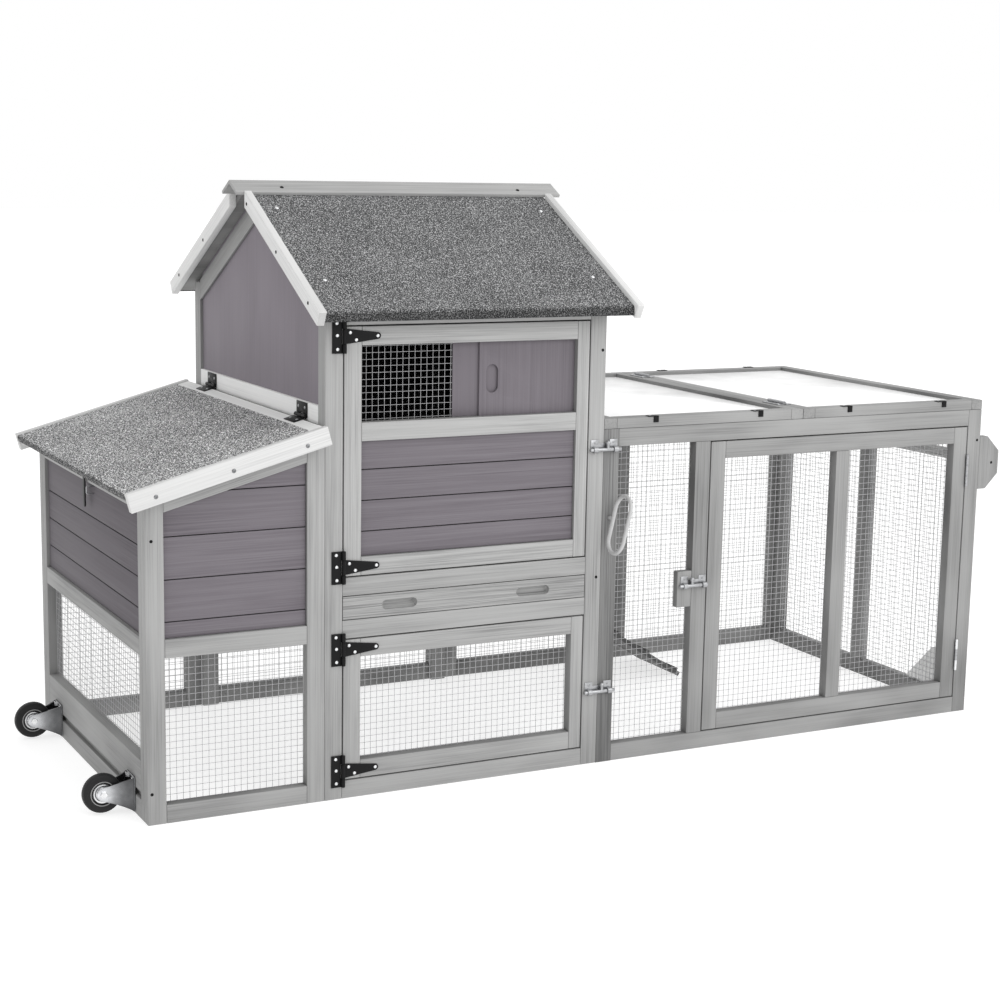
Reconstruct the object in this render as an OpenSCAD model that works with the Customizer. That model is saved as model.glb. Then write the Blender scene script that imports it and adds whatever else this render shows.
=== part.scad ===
// Chicken tractor: a nest box, a gabled house and a wire run built in one row.
// X runs along the row from the nest box to the run, Y from front to back, Z up.
// The modules use the nest box's front bottom corner as their zero point, and
// place() then moves everything to the middle of the ground rectangle.

/* [Row] */
// Length of the nest box along the row
nest_l = 352; // [310:1:400]
// Length of the house along the row
house_l = 606; // [560:1:680]
// Length of the run along the row
run_l = 981; // [880:1:1080]
// Depth from the front faces to the back faces
depth = 765; // [700:1:840]

/* [Timber] */
// Face width of rails, stiles and posts
member_w = 36; // [32:0.5:40]
// Thickness of the framed walls and doors
member_t = 24; // [23:0.5:28]
// Thickness of planks and sheet panels
board_t = 9; // [6:0.5:10]
// Set-back of planks behind the face of their frame
plank_recess = 7; // [4:0.5:9]
// Open groove between neighbouring planks
groove = 1.5; // [0.8:0.1:3]
// Hairline left at butt joints
joint_gap = 0.2; // [0.1:0.05:0.4]
// Gap under the roofs, the run top and the tray
seat = 0.4; // [0.3:0.05:0.6]

/* [Nest box] */
// Height of the nest roof's underside at the end wall
nest_h = 627; // [600:1:640]
// Pitch of the nest roof in degrees
nest_pitch = 15.3; // [12:0.1:17]
// Underside of the mid rails
nest_mid_z = 317; // [290:1:340]
// Height of one front plank
nest_course = 81; // [60:1:100]
// Height of the lowest front plank
nest_first_course = 33; // [20:1:60]
// Upright height of the sloping top rail
slope_rail_h = 46; // [36:1:56]
// Face width of the end wall's stiles
end_stile_w = 20; // [16:1:30]
// Underside of the end wall's lower rail
end_rail_z = 52; // [46:1:60]
// Height of the end wall's lower rail
end_rail_h = 62; // [50:1:70]
// Height of the rebate along the caster board's top edge
rebate_h = 14; // [8:1:18]
// Depth of the rebate along the caster board's top edge
rebate_d = 8; // [4:1:12]
// Roof overhang past the end wall
nest_over_end = 43; // [30:1:60]
// Distance from the roof's hinge axis to its top edge
nest_head = 6; // [5:0.5:10]
// Roof overhang past the front and back walls, without the trim
nest_over_side = 22; // [16:1:30]
// Thickness of the trim boards
trim_t = 16; // [12:1:20]
// Height of the trim boards
trim_h = 33; // [30:1:40]
// Height of the board between the two nests
divider_h = 200; // [150:1:220]
// Height of the board that keeps the litter in
lip_h = 60; // [40:1:90]

/* [House] */
// Height of the lower door
lower_door_h = 279; // [250:1:300]
// Height of the tray's opening
tray_slot_h = 48; // [42:1:60]
// Height of the upper door
upper_door_h = 478; // [450:1:500]
// Gap round the hinged doors
door_gap = 2.5; // [2:0.1:3.5]
// Face width of the house doors' stile on the bolt side
free_stile_w = 27; // [24:1:36]
// Height of one door plank
door_course = 60; // [50:1:75]
// Part of the top door plank that the mid rail hides
course_lap = 4; // [0:1:10]
// Set-back of the gable panels from the posts' outer faces
gable_recess = 6; // [4:0.5:10]
// Number of planks in the back wall
back_courses = 7; // [5:1:9]

/* [House roof] */
// Pitch of the house roof in degrees
roof_pitch = 27.7; // [24:0.1:32]
// Thickness of the roof boards
deck_t = 12; // [9:0.5:15]
// Thickness of the roofing felt
felt_t = 3; // [2:0.5:4]
// Roof overhang past the gable wall on the run side
roof_over_x = 49; // [40:1:60]
// Roof overhang past the gable wall on the nest side
roof_over_nest = 37; // [36:1:60]
// Roof overhang past the front and back walls
roof_over_y = 49; // [30:1:60]
// Thickness of the bargeboards
barge_t = 15; // [12:1:17]
// Height of the bargeboards, square to the slope
barge_h = 30; // [26:1:40]
// Rise of the bargeboards above the felt, square to the slope
barge_rise = 9.5; // [2:0.5:10]
// Reach of the bargeboards past the eaves
barge_reach = 14; // [0:1:20]
// Width of the ridge cap on each slope
cap_w = 50; // [40:1:80]
// Thickness of the ridge cap
cap_t = 6.5; // [3:0.5:10]
// Overhang of the ridge cap past the bargeboards on the nest side
cap_over = 16; // [4:1:24]
// Overhang of the ridge cap past the bargeboards on the run side
cap_over_run = 23; // [4:1:30]
// Thickness of the rafters on the gables
rafter_t = 5.8; // [4:0.1:8]
// Upright height of the rafters on the gables
rafter_h = 44; // [36:1:50]
// Upright gap between the rafters and the roof boards
rafter_drop = 14; // [8:1:24]

/* [Window] */
// Height of the window in the upper door
window_h = 146.5; // [120:0.5:170]
// Width of the netted part of the window
window_net_w = 198; // [160:1:205]
// Width of the sliding shutter
slider_w = 212; // [208:1:225]
// Thickness of the sliding shutter
slider_t = 5; // [4:0.5:5.5]
// Depth of the shutter's grooves in the rails
slider_groove = 6; // [4:0.5:10]
// Clearance of the shutter in its grooves
slider_fit = 0.5; // [0.3:0.1:0.8]
// Height of the shutter's finger hole
pull_h = 56; // [40:1:70]
// Width of the shutter's finger hole
pull_w = 26; // [20:1:36]
// Distance from the shutter's free edge to the finger hole's middle
pull_inset = 28; // [24:1:50]

/* [Tray] */
// Thickness of the tray's front board
tray_front_t = 18; // [12:1:22]
// Gap round the tray's front board
tray_gap = 1.5; // [1:0.1:2.5]
// Wall thickness of the tray's pan
pan_t = 2; // [1.5:0.5:4]
// Height of the tray's pan
pan_h = 35; // [25:1:38]
// Length of one grip slot
grip_l = 75; // [60:1:95]
// Height of one grip slot
grip_h = 19; // [16:1:22]
// Distance between the grip slots' middles
grip_spread = 293; // [240:1:340]
// Width of the tray runners
runner_w = 28; // [20:1:36]
// Height of the tray runners
runner_h = 20; // [14:1:30]

/* [Pop door] */
// Width of the pop hole
pop_w = 195; // [170:1:205]
// Height from the top of the pop hole to the run's top
pop_head = 60; // [52:1:90]
// Distance from the back post to the pop hole
pop_inset = 16; // [15:1:30]
// Overlap of the pop door past the hole
pop_lap = 12; // [8:1:14]
// Thickness of the pop door
pop_door_t = 5; // [4:0.5:8]
// Height of the grooved guide rails
guide_h = 16; // [12:1:20]
// Depth of the groove in the guide rails
guide_groove = 8; // [6:0.5:10]
// Clearance of the pop door in its guides
guide_fit = 0.6; // [0.4:0.1:1]
// Diameter of the pull rod and its loop
rod_d = 8; // [6:0.5:10]
// Drop of the pull rod below the pop hole's middle
rod_drop = 8; // [0:1:30]
// Clearance round the rod in the post
rod_fit = 0.6; // [0.4:0.1:1.2]
// Width of the loop between its strands' middles
loop_w = 58; // [44:1:70]
// Length of the loop's straight strands
loop_straight = 60; // [40:1:90]
// Drop of the loop's middle below the rod
loop_drop = 8; // [0:1:20]
// Gap between the loop and the post
loop_gap = 11; // [6:1:20]
// Lean of the loop about the rod in degrees
loop_lean = 13; // [0:1:25]

/* [Ramp] */
// Width of the ramp
ramp_w = 190; // [150:1:210]
// Thickness of the ramp board
ramp_t = 10; // [9:0.5:16]
// Slope of the ramp in degrees
ramp_angle = 32.5; // [27:0.1:38]
// Distance from the back frame to the ramp
ramp_inset = 29; // [8:1:60]
// Number of cleats on the ramp
cleats = 7; // [4:1:10]
// Width and height of a cleat
cleat = 6; // [5:1:14]
// Thickness of the ramp's brackets
bracket_t = 6; // [4:0.5:8]
// Radius of the rod that the ramp hangs on
ramp_rod_r = 5; // [4:0.5:6]
// Clearance behind the ramp's sleeves
ramp_clear = 1; // [0.6:0.1:2]

/* [Run] */
// Height of the run's walls
run_h = 700; // [684:1:730]
// Distance from the run's house end to the mid post
run_mid = 222; // [190:1:260]
// Length of the bolt block beside the mid post
block_l = 35; // [30:1:40]
// Height of the bolt block
block_h = 77; // [60:1:100]
// Thickness of the bolt block
block_t = 16; // [12:0.5:17]
// Rise of the run door's bolt above the run's mid height
run_bolt_rise = 10; // [-80:1:80]
// Leg of the end wall's gusset along the bottom rail
gusset_l = 135; // [90:1:180]
// Leg of the end wall's gusset along the front stile
gusset_h = 91; // [60:1:140]
// Thickness of the end wall's gusset
gusset_t = 9; // [6:0.5:12]

/* [Run top] */
// Thickness of the top frames
lid_t = 21; // [18:0.5:26]
// Width of the top frames' bars
lid_bar = 30; // [24:1:36]
// Thickness of the clear sheets
sheet_t = 2; // [1.5:0.5:4]
// Depth of the clear sheets below the frames' top faces
sheet_drop = 8; // [4:1:12]
// Gap between each top frame and the hinge line
lid_gap = 0.5; // [0.3:0.1:1]
// Distance from a panel's end to its clips
clip_inset = 116; // [80:1:150]
// Length of a clip
clip_l = 24; // [16:1:30]
// Reach of a clip over the top and down the face
clip_reach = 12; // [8:1:16]
// Thickness of a clip
clip_t = 1.5; // [1:0.5:2.5]

/* [Hinges] */
// Radius of the hinge knuckles
knuckle_r = 4; // [3.5:0.1:4.5]
// Radius of the hinge pins
pin_r = 1.6; // [1.2:0.1:2]
// Clearance of a knuckle on its pin
pin_fit = 0.06; // [0.03:0.01:0.1]
// Thickness of the hinge leaves
leaf_t = 2; // [1.5:0.1:2.5]
// Gap between two knuckles along the pin
knuckle_gap = 0.5; // [0.3:0.1:0.8]
// Gap between a fitting and the face that it sits on
face_gap = 0.2; // [0.1:0.05:0.3]
// Length of a T-hinge's strap
strap_l = 75; // [60:1:95]
// Height of a T-hinge's strap at its knuckle
strap_h = 28; // [20:1:30]
// Height of a T-hinge's strap at its round tip
strap_tip = 13; // [10:1:18]
// Width of a T-hinge's plate
tee_w = 24; // [18:1:30]
// Height of a T-hinge's plate
tee_h = 64; // [54:1:72]
// Depth of a butt hinge's leaf behind its axis
butt_w = 22; // [16:1:26]
// Radius of the butt hinges' knuckles
butt_r = 3; // [2.6:0.1:3.6]
// Half the gap between a butt hinge's closed leaves
butt_gap = 0.15; // [0.1:0.05:0.3]
// Height of the run door's butt hinges
butt_h = 72; // [50:1:80]
// Distance from the run door's ends to its hinges' middles
butt_inset = 98; // [70:1:130]
// Width of a roof hinge's leaf
roof_leaf_w = 26; // [20:1:30]
// Length of a roof hinge
roof_leaf_h = 54; // [40:1:70]
// Distance from the front and back faces to the roof hinges
roof_hinge_inset = 116; // [80:1:150]
// Width of a run top hinge's leaf
lid_leaf_w = 17; // [12:1:24]
// Length of a run top hinge
lid_leaf_h = 60; // [40:1:80]
// Distance from the front and back faces to the run top hinges
lid_hinge_inset = 100; // [70:1:150]

/* [Bolts and latch] */
// Radius of the bolt rods
bolt_r = 4; // [3:0.25:5]
// Length of the bolts' base plates
bolt_plate_l = 62; // [54:1:66]
// Height of the bolts' base plates
bolt_plate_h = 14; // [13:1:34]
// Thickness of the bolts' base plates
bolt_plate_t = 1.5; // [1:0.25:2]
// Length of a drawn bolt past its base plate
bolt_over = 6; // [4:0.5:8]
// Length of one bolt guide
guide_l = 9; // [6:1:11]
// Clearance of a bolt in its guides
bolt_fit = 0.4; // [0.3:0.1:0.8]
// Gap between a drawn bolt and its door
bolt_clear = 3; // [2:0.5:5]
// Height of the upper door's bolt
upper_bolt_z = 660; // [560:1:740]
// Height of the lower door's bolt
lower_bolt_z = 155; // [100:1:250]
// Length of the hanging latch strap
latch_l = 78; // [60:1:90]
// Thickness of the latch strap, its lug and the staple's wire
latch_t = 3; // [2:0.5:4]
// Width of the hanging latch strap
latch_w = 9; // [7:1:12]
// Offset of the staple from the latch strap
staple_off = 23; // [19:1:30]

/* [Casters] */
// Radius of the wheels
wheel_r = 38; // [32:0.5:38.5]
// Width of the wheels
wheel_w = 20; // [18:1:28]
// Height of the wheels' axles
axle_z = 41; // [40:1:46]
// Distance from the end wall to the axles
axle_reach = 58; // [50:1:66]
// Radius of the axles
axle_r = 4; // [3:0.25:5]
// Clearance of a wheel on its axle
axle_fit = 0.08; // [0.04:0.01:0.1]
// Distance from the front face to the front wheel's middle
caster_inset = 105; // [90:1:140]
// Distance from the back face to the back wheel's middle
caster_back = 125; // [90:1:150]
// Thickness of the forks and their plates
fork_t = 3; // [2:0.5:4]
// Gap between a wheel and its fork
fork_gap = 2.5; // [1.5:0.5:4]
// Height of a caster's plate
caster_plate_h = 70; // [50:1:72]
// Width of a caster's plate
caster_plate_w = 56; // [50:1:70]

/* [Handle] */
// Reach of the handle plates past the run
handle_reach = 56; // [46:1:70]
// Height of the handle plates
handle_h = 120; // [100:1:140]
// Drop of the handle plates below the run's top
handle_drop = 62; // [40:1:120]
// Thickness of the handle plates
handle_t = 18; // [14:1:24]
// Cut of the handle plates' outer corners
handle_cut = 34; // [24:1:40]
// Radius of the handle bar
bar_r = 13; // [11:0.5:16]
// Distance from the run's end to the handle bar's middle
bar_reach = 36; // [33:1:40]

/* [Netting] */
// Spacing of the coarse net's wires
net_pitch = 92; // [85:1:150]
// Width of the coarse net's wires
net_wire = 3; // [2:0.5:5]
// Thickness of the coarse net
net_t = 2; // [1.5:0.5:2.5]
// Set-back of the netting behind the face of its frame
net_recess = 18; // [17:0.5:19]

/* [Hidden] */
$fn = 48;
g = joint_gap;

x1 = nest_l;
x2 = x1 + house_l;
x3 = x2 + run_l;

// Levels of the house front
sill_top = member_w;
lower_z0 = sill_top + door_gap;
lower_z1 = lower_z0 + lower_door_h;
cross_z0 = lower_z1 + door_gap;
tray_z0 = cross_z0 + member_w;
tray_z1 = tray_z0 + tray_slot_h;
upper_z0 = tray_z1 + member_w + door_gap;
upper_z1 = upper_z0 + upper_door_h;
wall_h = upper_z1 + door_gap + member_w;
window_z1 = upper_z1 - member_w;
window_z0 = window_z1 - window_h;
mid_z0 = window_z0 - member_w;

// Clear openings between the house posts
house_x0 = x1 + member_w;
house_x1 = x2 - member_w;
door_x0 = house_x0 + door_gap;
door_x1 = house_x1 - door_gap;
panel_x0 = door_x0 + member_w + g;
panel_x1 = door_x1 - free_stile_w - g;
inner_y0 = member_w + g;
inner_y1 = depth - member_w - g;

// House roof, as heights above the ground at a distance from the front
function deck_under(y) = wall_h + seat + min(y, depth - y) * tan(roof_pitch);
function upright(t) = t / cos(roof_pitch);
mid_y = depth / 2;

// Nest roof, hung on an axis beside the house wall
axis_off = knuckle_r + face_gap;
roof_axis_x = x1 - axis_off;
nest_rise = roof_axis_x * tan(nest_pitch);
nest_thick = axis_off + felt_t + deck_t;
roof_axis_z = nest_h + nest_rise + nest_thick / cos(nest_pitch);
nest_run = (roof_axis_x + nest_over_end) / cos(nest_pitch);
function nest_top(x) = nest_h - seat + x * tan(nest_pitch);
hinge_rail_z0 = roof_axis_z - member_w / 4;
hinge_rail_z1 = hinge_rail_z0 + member_w;

// Run and its door
run_mid_x0 = x2 + run_mid;
run_mid_x1 = run_mid_x0 + member_w;
run_in_x0 = x2 + member_w;
run_in_x1 = x3 - member_w;
run_top_z = run_h - member_w;
run_door_x0 = run_mid_x1 + door_gap;
run_door_x1 = run_in_x1 - door_gap;
run_door_z0 = member_w + door_gap;
run_door_z1 = run_top_z - door_gap;
run_door_mid = (run_door_x0 + run_door_x1) / 2;
run_mid_line = (x2 + x3) / 2;
lid_z0 = run_h + seat;
lid_z1 = lid_z0 + lid_t;
run_bolt_z = run_h / 2 + run_bolt_rise;
handle_z = run_h - handle_drop - handle_h;

// Joint axes
house_hinge_x = house_x0 + door_gap / 2;
run_hinge_x = run_in_x1 - door_gap / 2;
lid_axis_z = lid_z1 + axis_off;
ramp_axis_z = cross_z0 + member_w / 2;
ramp_sleeve = ramp_rod_r + ramp_t / 2;
ramp_axis_x = x2 + ramp_sleeve + ramp_clear;

// Pop door and its pull rod
pop_y1 = depth - member_w - pop_inset;
pop_y0 = pop_y1 - pop_w;
pop_z0 = tray_z1 + guide_groove;
pop_z1 = run_h - pop_head;
pop_door_y0 = pop_y0 - pop_lap;
pop_door_y1 = pop_y1 + pop_lap;
pop_travel = pop_w + 2 * pop_lap;
pop_x0 = x2 + pop_door_t / 2;
pop_x1 = pop_x0 + pop_door_t;
rod_x = x2 + member_w / 2;
rod_z = (pop_z0 + pop_z1) / 2 - rod_drop;
loop_mid_y = -loop_gap - rod_d / 2 - loop_w / 2;

// Ground rectangle
eave_reach = max(roof_over_y + barge_reach, nest_over_side + g + trim_t);
front_reach = max(loop_gap + loop_w + rod_d, eave_reach);
back_reach = depth + eave_reach;
left_reach = axle_reach + wheel_r;
right_reach = x3 + g + handle_reach;

wood = [0.68, 0.68, 0.68];
pale = [0.86, 0.86, 0.87];
mauve = [0.50, 0.46, 0.50];
slate = [0.34, 0.35, 0.37];
black = [0.10, 0.10, 0.11];
steel = [0.78, 0.79, 0.81];
clear = [0.90, 0.93, 0.95];

// Box from one corner to the opposite one
module box(a, b) {
    translate(a) cube(b - a);
}

// Plate with an outline in X and Z, from y0 backwards
module plate_xz(outline, y0, t) {
    translate([0, y0 + t, 0]) rotate([90, 0, 0]) linear_extrude(t) polygon(outline);
}

// Plate with an outline in Y and Z, from x0 onwards
module plate_yz(outline, x0, t) {
    translate([x0, 0, 0]) rotate([90, 0, 90]) linear_extrude(t) polygon(outline);
}

// Moves the row's zero point to the middle of the ground rectangle
module place() {
    translate([(left_reach - right_reach) / 2, (front_reach - back_reach) / 2, 0])
        children();
}

// Copies the front's parts to the back
module front_and_back() {
    children();
    translate([0, depth, 0]) mirror([0, 1, 0]) children();
}

// Coarse square net
function cells(length) = max(1, round(length / net_pitch));
module net_sheet(w, h) {
    nx = cells(w);
    nz = cells(h);
    hole_w = (w - net_wire) / nx - net_wire;
    hole_h = (h - net_wire) / nz - net_wire;
    linear_extrude(net_t) difference() {
        square([w, h]);
        for (i = [0 : nx - 1])
            for (k = [0 : nz - 1])
                translate([net_wire + i * (hole_w + net_wire), net_wire + k * (hole_h + net_wire)])
                    square([hole_w, hole_h]);
    }
}
module net_xz(x0, x1, z0, z1, y) {
    translate([x0 + g, y + net_t, z0 + g]) rotate([90, 0, 0])
        net_sheet(x1 - x0 - 2 * g, z1 - z0 - 2 * g);
}
module net_yz(y0, y1, z0, z1, x) {
    translate([x, y0 + g, z0 + g]) rotate([90, 0, 90])
        net_sheet(y1 - y0 - 2 * g, z1 - z0 - 2 * g);
}

// Hinge halves about an upright axis at zero, seated on a face behind it.
// The fixed half reaches to -X, the moving half to +X.
leaf_start = knuckle_r + knuckle_gap;
module hinge_fixed(h, mid, leaf_w) {
    seg = (h - mid) / 2 - knuckle_gap;
    box([-leaf_w, knuckle_r - leaf_t, -h / 2], [-leaf_start, knuckle_r, h / 2]);
    for (s = [0, 1])
        mirror([0, 0, s]) translate([0, 0, h / 2 - seg]) {
            cylinder(r = knuckle_r, h = seg);
            box([-leaf_start - leaf_t, knuckle_r - leaf_t, 0], [0, knuckle_r, seg]);
        }
    translate([0, 0, -h / 2]) cylinder(r = pin_r, h = h);
}
module hinge_moving(h, mid, leaf_w) {
    difference() {
        union() {
            translate([0, 0, -mid / 2]) cylinder(r = knuckle_r, h = mid);
            box([0, knuckle_r - leaf_t, -mid / 2], [leaf_start + leaf_t, knuckle_r, mid / 2]);
            box([leaf_start, knuckle_r - leaf_t, -h / 2], [leaf_w, knuckle_r, h / 2]);
        }
        translate([0, 0, -mid]) cylinder(r = pin_r + pin_fit, h = 2 * mid);
    }
}

// Butt hinge halves about an upright axis at zero, their leaves in the gap behind it.
// The fixed half is on the +X side of the gap, the moving half on the -X side.
butt_t = door_gap / 2 - butt_gap - face_gap;
butt_start = butt_r + knuckle_gap;
module butt_fixed(h, mid) {
    seg = (h - mid) / 2 - knuckle_gap;
    box([butt_gap, butt_start, -h / 2], [butt_gap + butt_t, butt_w, h / 2]);
    for (s = [0, 1])
        mirror([0, 0, s]) translate([0, 0, h / 2 - seg]) {
            cylinder(r = butt_r, h = seg);
            box([butt_gap, 0, 0], [butt_gap + butt_t, butt_start + butt_t, seg]);
        }
    translate([0, 0, -h / 2]) cylinder(r = pin_r, h = h);
}
module butt_moving(h, mid) {
    difference() {
        union() {
            translate([0, 0, -mid / 2]) cylinder(r = butt_r, h = mid);
            box([-butt_gap - butt_t, 0, -mid / 2], [-butt_gap, butt_start + butt_t, mid / 2]);
            box([-butt_gap - butt_t, butt_start, -h / 2], [-butt_gap, butt_w, h / 2]);
        }
        translate([0, 0, -mid]) cylinder(r = pin_r + pin_fit, h = 2 * mid);
    }
}

// Walls of the nest box

module nest_side_frame() {
    plate_xz([[0, 0], [member_w, 0], [member_w, nest_top(member_w)], [0, nest_top(0)]], 0, member_t);
    plate_xz([[x1 - member_w, 0], [x1 - g, 0], [x1 - g, nest_top(x1 - g)],
        [x1 - member_w, nest_top(x1 - member_w)]], 0, member_t);
    a = member_w + g;
    b = x1 - member_w - g;
    box([a, 0, 0], [b, member_t, member_w]);
    box([a, 0, nest_mid_z], [b, member_t, nest_mid_z + member_w]);
    plate_xz([[a, nest_top(a) - slope_rail_h], [b, nest_top(b) - slope_rail_h],
        [b, nest_top(b)], [a, nest_top(a)]], 0, member_t);
}

module nest_front_frame() {
    color(wood) nest_side_frame();
}

module nest_back_frame() {
    color(wood) translate([0, depth, 0]) mirror([0, 1, 0]) nest_side_frame();
}

end_y0 = member_t + end_stile_w;
end_y1 = depth - end_y0;
end_top = nest_top(0);
module nest_end_frame() {
    color(wood) {
        front_and_back() box([0, member_t + g, 0], [member_t, end_y0, end_top]);
        box([0, end_y0 + g, end_rail_z], [member_t, end_y1 - g, end_rail_z + end_rail_h]);
        box([0, end_y0 + g, nest_mid_z], [member_t, end_y1 - g, nest_mid_z + member_w]);
        box([0, end_y0 + g, end_top - member_w], [member_t, end_y1 - g, end_top]);
    }
}

// Front and back planks are cut along the sloping rail, end planks are equal
module nest_planks() {
    a = member_w + g;
    b = x1 - member_w - g;
    foot = nest_mid_z + member_w + g;
    first = foot + nest_first_course;
    courses = ceil((nest_top(b) - first) / nest_course);
    head = end_top - member_w - g;
    end_course = (head - foot + groove) / 4;
    color(mauve) {
        front_and_back() intersection() {
            for (i = [0 : courses])
                box([a, plank_recess, i == 0 ? foot : first + groove + (i - 1) * nest_course],
                    [b, plank_recess + board_t, first + i * nest_course]);
            plate_xz([[a, 0], [b, 0], [b, nest_top(b) - slope_rail_h - g],
                [a, nest_top(a) - slope_rail_h - g]], 0, member_t);
        }
        for (i = [0 : 3])
            box([plank_recess, end_y0 + g, foot + i * end_course],
                [plank_recess + board_t, end_y1 - g, foot + (i + 1) * end_course - groove]);
    }
}

// Floor, divider and litter board of the two nests
module nest_inside() {
    y0 = member_t + g;
    top = nest_mid_z + member_w;
    color(wood) {
        box([y0, y0, top - board_t], [x1 - g, depth - y0, top]);
        box([y0, mid_y - board_t / 2, top + g],
            [x1 - board_t - 2 * g, mid_y + board_t / 2, top + divider_h]);
        box([x1 - board_t - g, y0, top + g], [x1 - g, depth - y0, top + lip_h]);
    }
}

module caster_board() {
    color(wood) difference() {
        box([0, end_y0 + g, 0], [member_t, end_y1 - g, end_rail_z - g]);
        box([-rebate_d, 0, end_rail_z - rebate_h], [rebate_d, depth, end_rail_z]);
    }
}

// Casters turned on their side: plate on the end wall, fork pointing outwards
module caster_fork() {
    half = wheel_w / 2 + fork_gap;
    low = axle_z - caster_plate_h / 2 - fork_t;
    high = low + caster_plate_h;
    box([-fork_t - g, -caster_plate_w / 2, low], [-g, caster_plate_w / 2, high]);
    for (s = [0, 1])
        mirror([0, s, 0])
            plate_xz([[-g, low + fork_t], [-g, high - fork_t], [-axle_reach, axle_z + 3 * axle_r],
                [-axle_reach - 2 * axle_r, axle_z + axle_r], [-axle_reach - 2 * axle_r, axle_z - axle_r],
                [-axle_reach, axle_z - 3 * axle_r]], half, fork_t);
    translate([-axle_reach, half + 2 * fork_t, axle_z]) rotate([90, 0, 0])
        cylinder(r = axle_r, h = 2 * half + 4 * fork_t);
    for (s = [0, 1])
        mirror([0, s, 0]) translate([-axle_reach, half + 2 * fork_t, axle_z]) rotate([90, 0, 0])
            cylinder(r = 1.8 * axle_r, h = fork_t, $fn = 6);
}

module caster_forks() {
    color(steel) for (y = [caster_inset, depth - caster_back])
        translate([0, y, 0]) caster_fork();
}

// Wheel with a stepped tread, a dished side and a long hub
module wheel(y) {
    half = wheel_w / 2;
    bore = axle_r + axle_fit;
    color(black) translate([-axle_reach, y, axle_z]) rotate([90, 0, 0]) rotate_extrude($fn = 96)
        polygon([[bore, -half], [2.4 * axle_r, -half], [2.4 * axle_r, 4 - half], [0.62 * wheel_r, 4 - half],
            [0.62 * wheel_r, 1 - half], [wheel_r - 4, 1 - half], [wheel_r, 4 - half],
            [wheel_r, half - 4], [wheel_r - 4, half - 1], [0.62 * wheel_r, half - 1],
            [0.62 * wheel_r, half - 4], [2.4 * axle_r, half - 4], [2.4 * axle_r, half], [bore, half]]);
}

module wheel_front() {
    wheel(caster_inset);
}

module wheel_back() {
    wheel(depth - caster_back);
}

// Walls of the house

module house_posts_pair() {
    box([x1, 0, 0], [house_x0, member_w, wall_h]);
    box([house_x1, 0, 0], [x2 - g, member_w, wall_h]);
}

module house_rail(z) {
    box([house_x0 + g, 0, z], [house_x1 - g, member_t, z + member_w]);
}

module house_front_frame() {
    color(wood) {
        house_posts_pair();
        for (z = [0, cross_z0, tray_z1, wall_h - member_w])
            house_rail(z);
    }
}

// Back frame with the side rails that carry the tray
module house_back_frame() {
    color(wood) {
        translate([0, depth, 0]) mirror([0, 1, 0]) {
            house_posts_pair();
            for (z = [0, cross_z0, wall_h - member_w])
                house_rail(z);
        }
        box([x1, inner_y0, cross_z0], [x1 + member_t, inner_y1, tray_z0]);
        box([x2 - member_t, inner_y0, cross_z0], [x2 - g, inner_y1, tray_z0]);
    }
}

// Outline of a gable panel from a given height to the roof boards
function gable(z) = [[inner_y0, z], [inner_y1, z], [inner_y1, deck_under(inner_y1) - g],
    [mid_y, deck_under(mid_y) - g], [inner_y0, deck_under(inner_y0) - g]];

module house_left_wall() {
    color(mauve) plate_yz(gable(hinge_rail_z1 + g), x1 + gable_recess, board_t);
}

right_wall_x = x2 - gable_recess - board_t;
module house_right_wall() {
    color(mauve) difference() {
        plate_yz(gable(tray_z0 + g), right_wall_x, board_t);
        box([right_wall_x - board_t, pop_y0, pop_z0], [x2, pop_y1, pop_z1]);
    }
}

module house_back_planks() {
    low = tray_z0 + g;
    course = (wall_h - member_w - g - low + groove) / back_courses;
    color(mauve) for (i = [0 : back_courses - 1])
        box([house_x0 + g, depth - plank_recess - board_t, low + i * course],
            [house_x1 - g, depth - plank_recess, low + (i + 1) * course - groove]);
}

module tray_runners() {
    top = tray_z0 - g;
    color(wood) {
        box([x1 + member_t + g, inner_y0, top - runner_h], [x1 + member_t + runner_w, inner_y1, top]);
        box([x2 - member_t - runner_w, inner_y0, top - runner_h], [x2 - member_t - g, inner_y1, top]);
    }
}

module hinge_rail() {
    color(pale) box([x1, inner_y0, hinge_rail_z0], [x1 + member_t, inner_y1, hinge_rail_z1]);
}

// Roof of the house

// Outline of a band along the front slope, between two upright offsets
function slope_band(y0, y1, low, high) = [[y0, deck_under(y0) + low], [y1, deck_under(y1) + low],
    [y1, deck_under(y1) + high], [y0, deck_under(y0) + high]];

deck_x0 = x1 - roof_over_nest + barge_t + g;
deck_x1 = x2 + roof_over_x - barge_t - g;
eave_y = -roof_over_y;
ridge_y = mid_y - g;

// Rafters on the face of the gables, between the posts
module rafters() {
    low = -rafter_drop - rafter_h;
    color(wood) front_and_back() for (x = [x1 + gable_recess - g - rafter_t, x2 - gable_recess + g])
        plate_yz(slope_band(member_w + g, ridge_y, low, -rafter_drop), x, rafter_t);
}

module roof_decks() {
    color(wood) front_and_back()
        plate_yz(slope_band(eave_y + felt_t + g, ridge_y, 0, upright(deck_t)), deck_x0, deck_x1 - deck_x0);
}

// Felt on the slope with a lip down the eave
module roof_felt() {
    low = upright(deck_t) + g;
    high = low + upright(felt_t);
    lip = eave_y + felt_t;
    color(slate) front_and_back() plate_yz([[eave_y, deck_under(eave_y)], [lip, deck_under(lip)],
        [lip, deck_under(lip) + low], [ridge_y, deck_under(ridge_y) + low],
        [ridge_y, deck_under(ridge_y) + high], [eave_y, deck_under(eave_y) + high]],
        deck_x0, deck_x1 - deck_x0);
}

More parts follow.
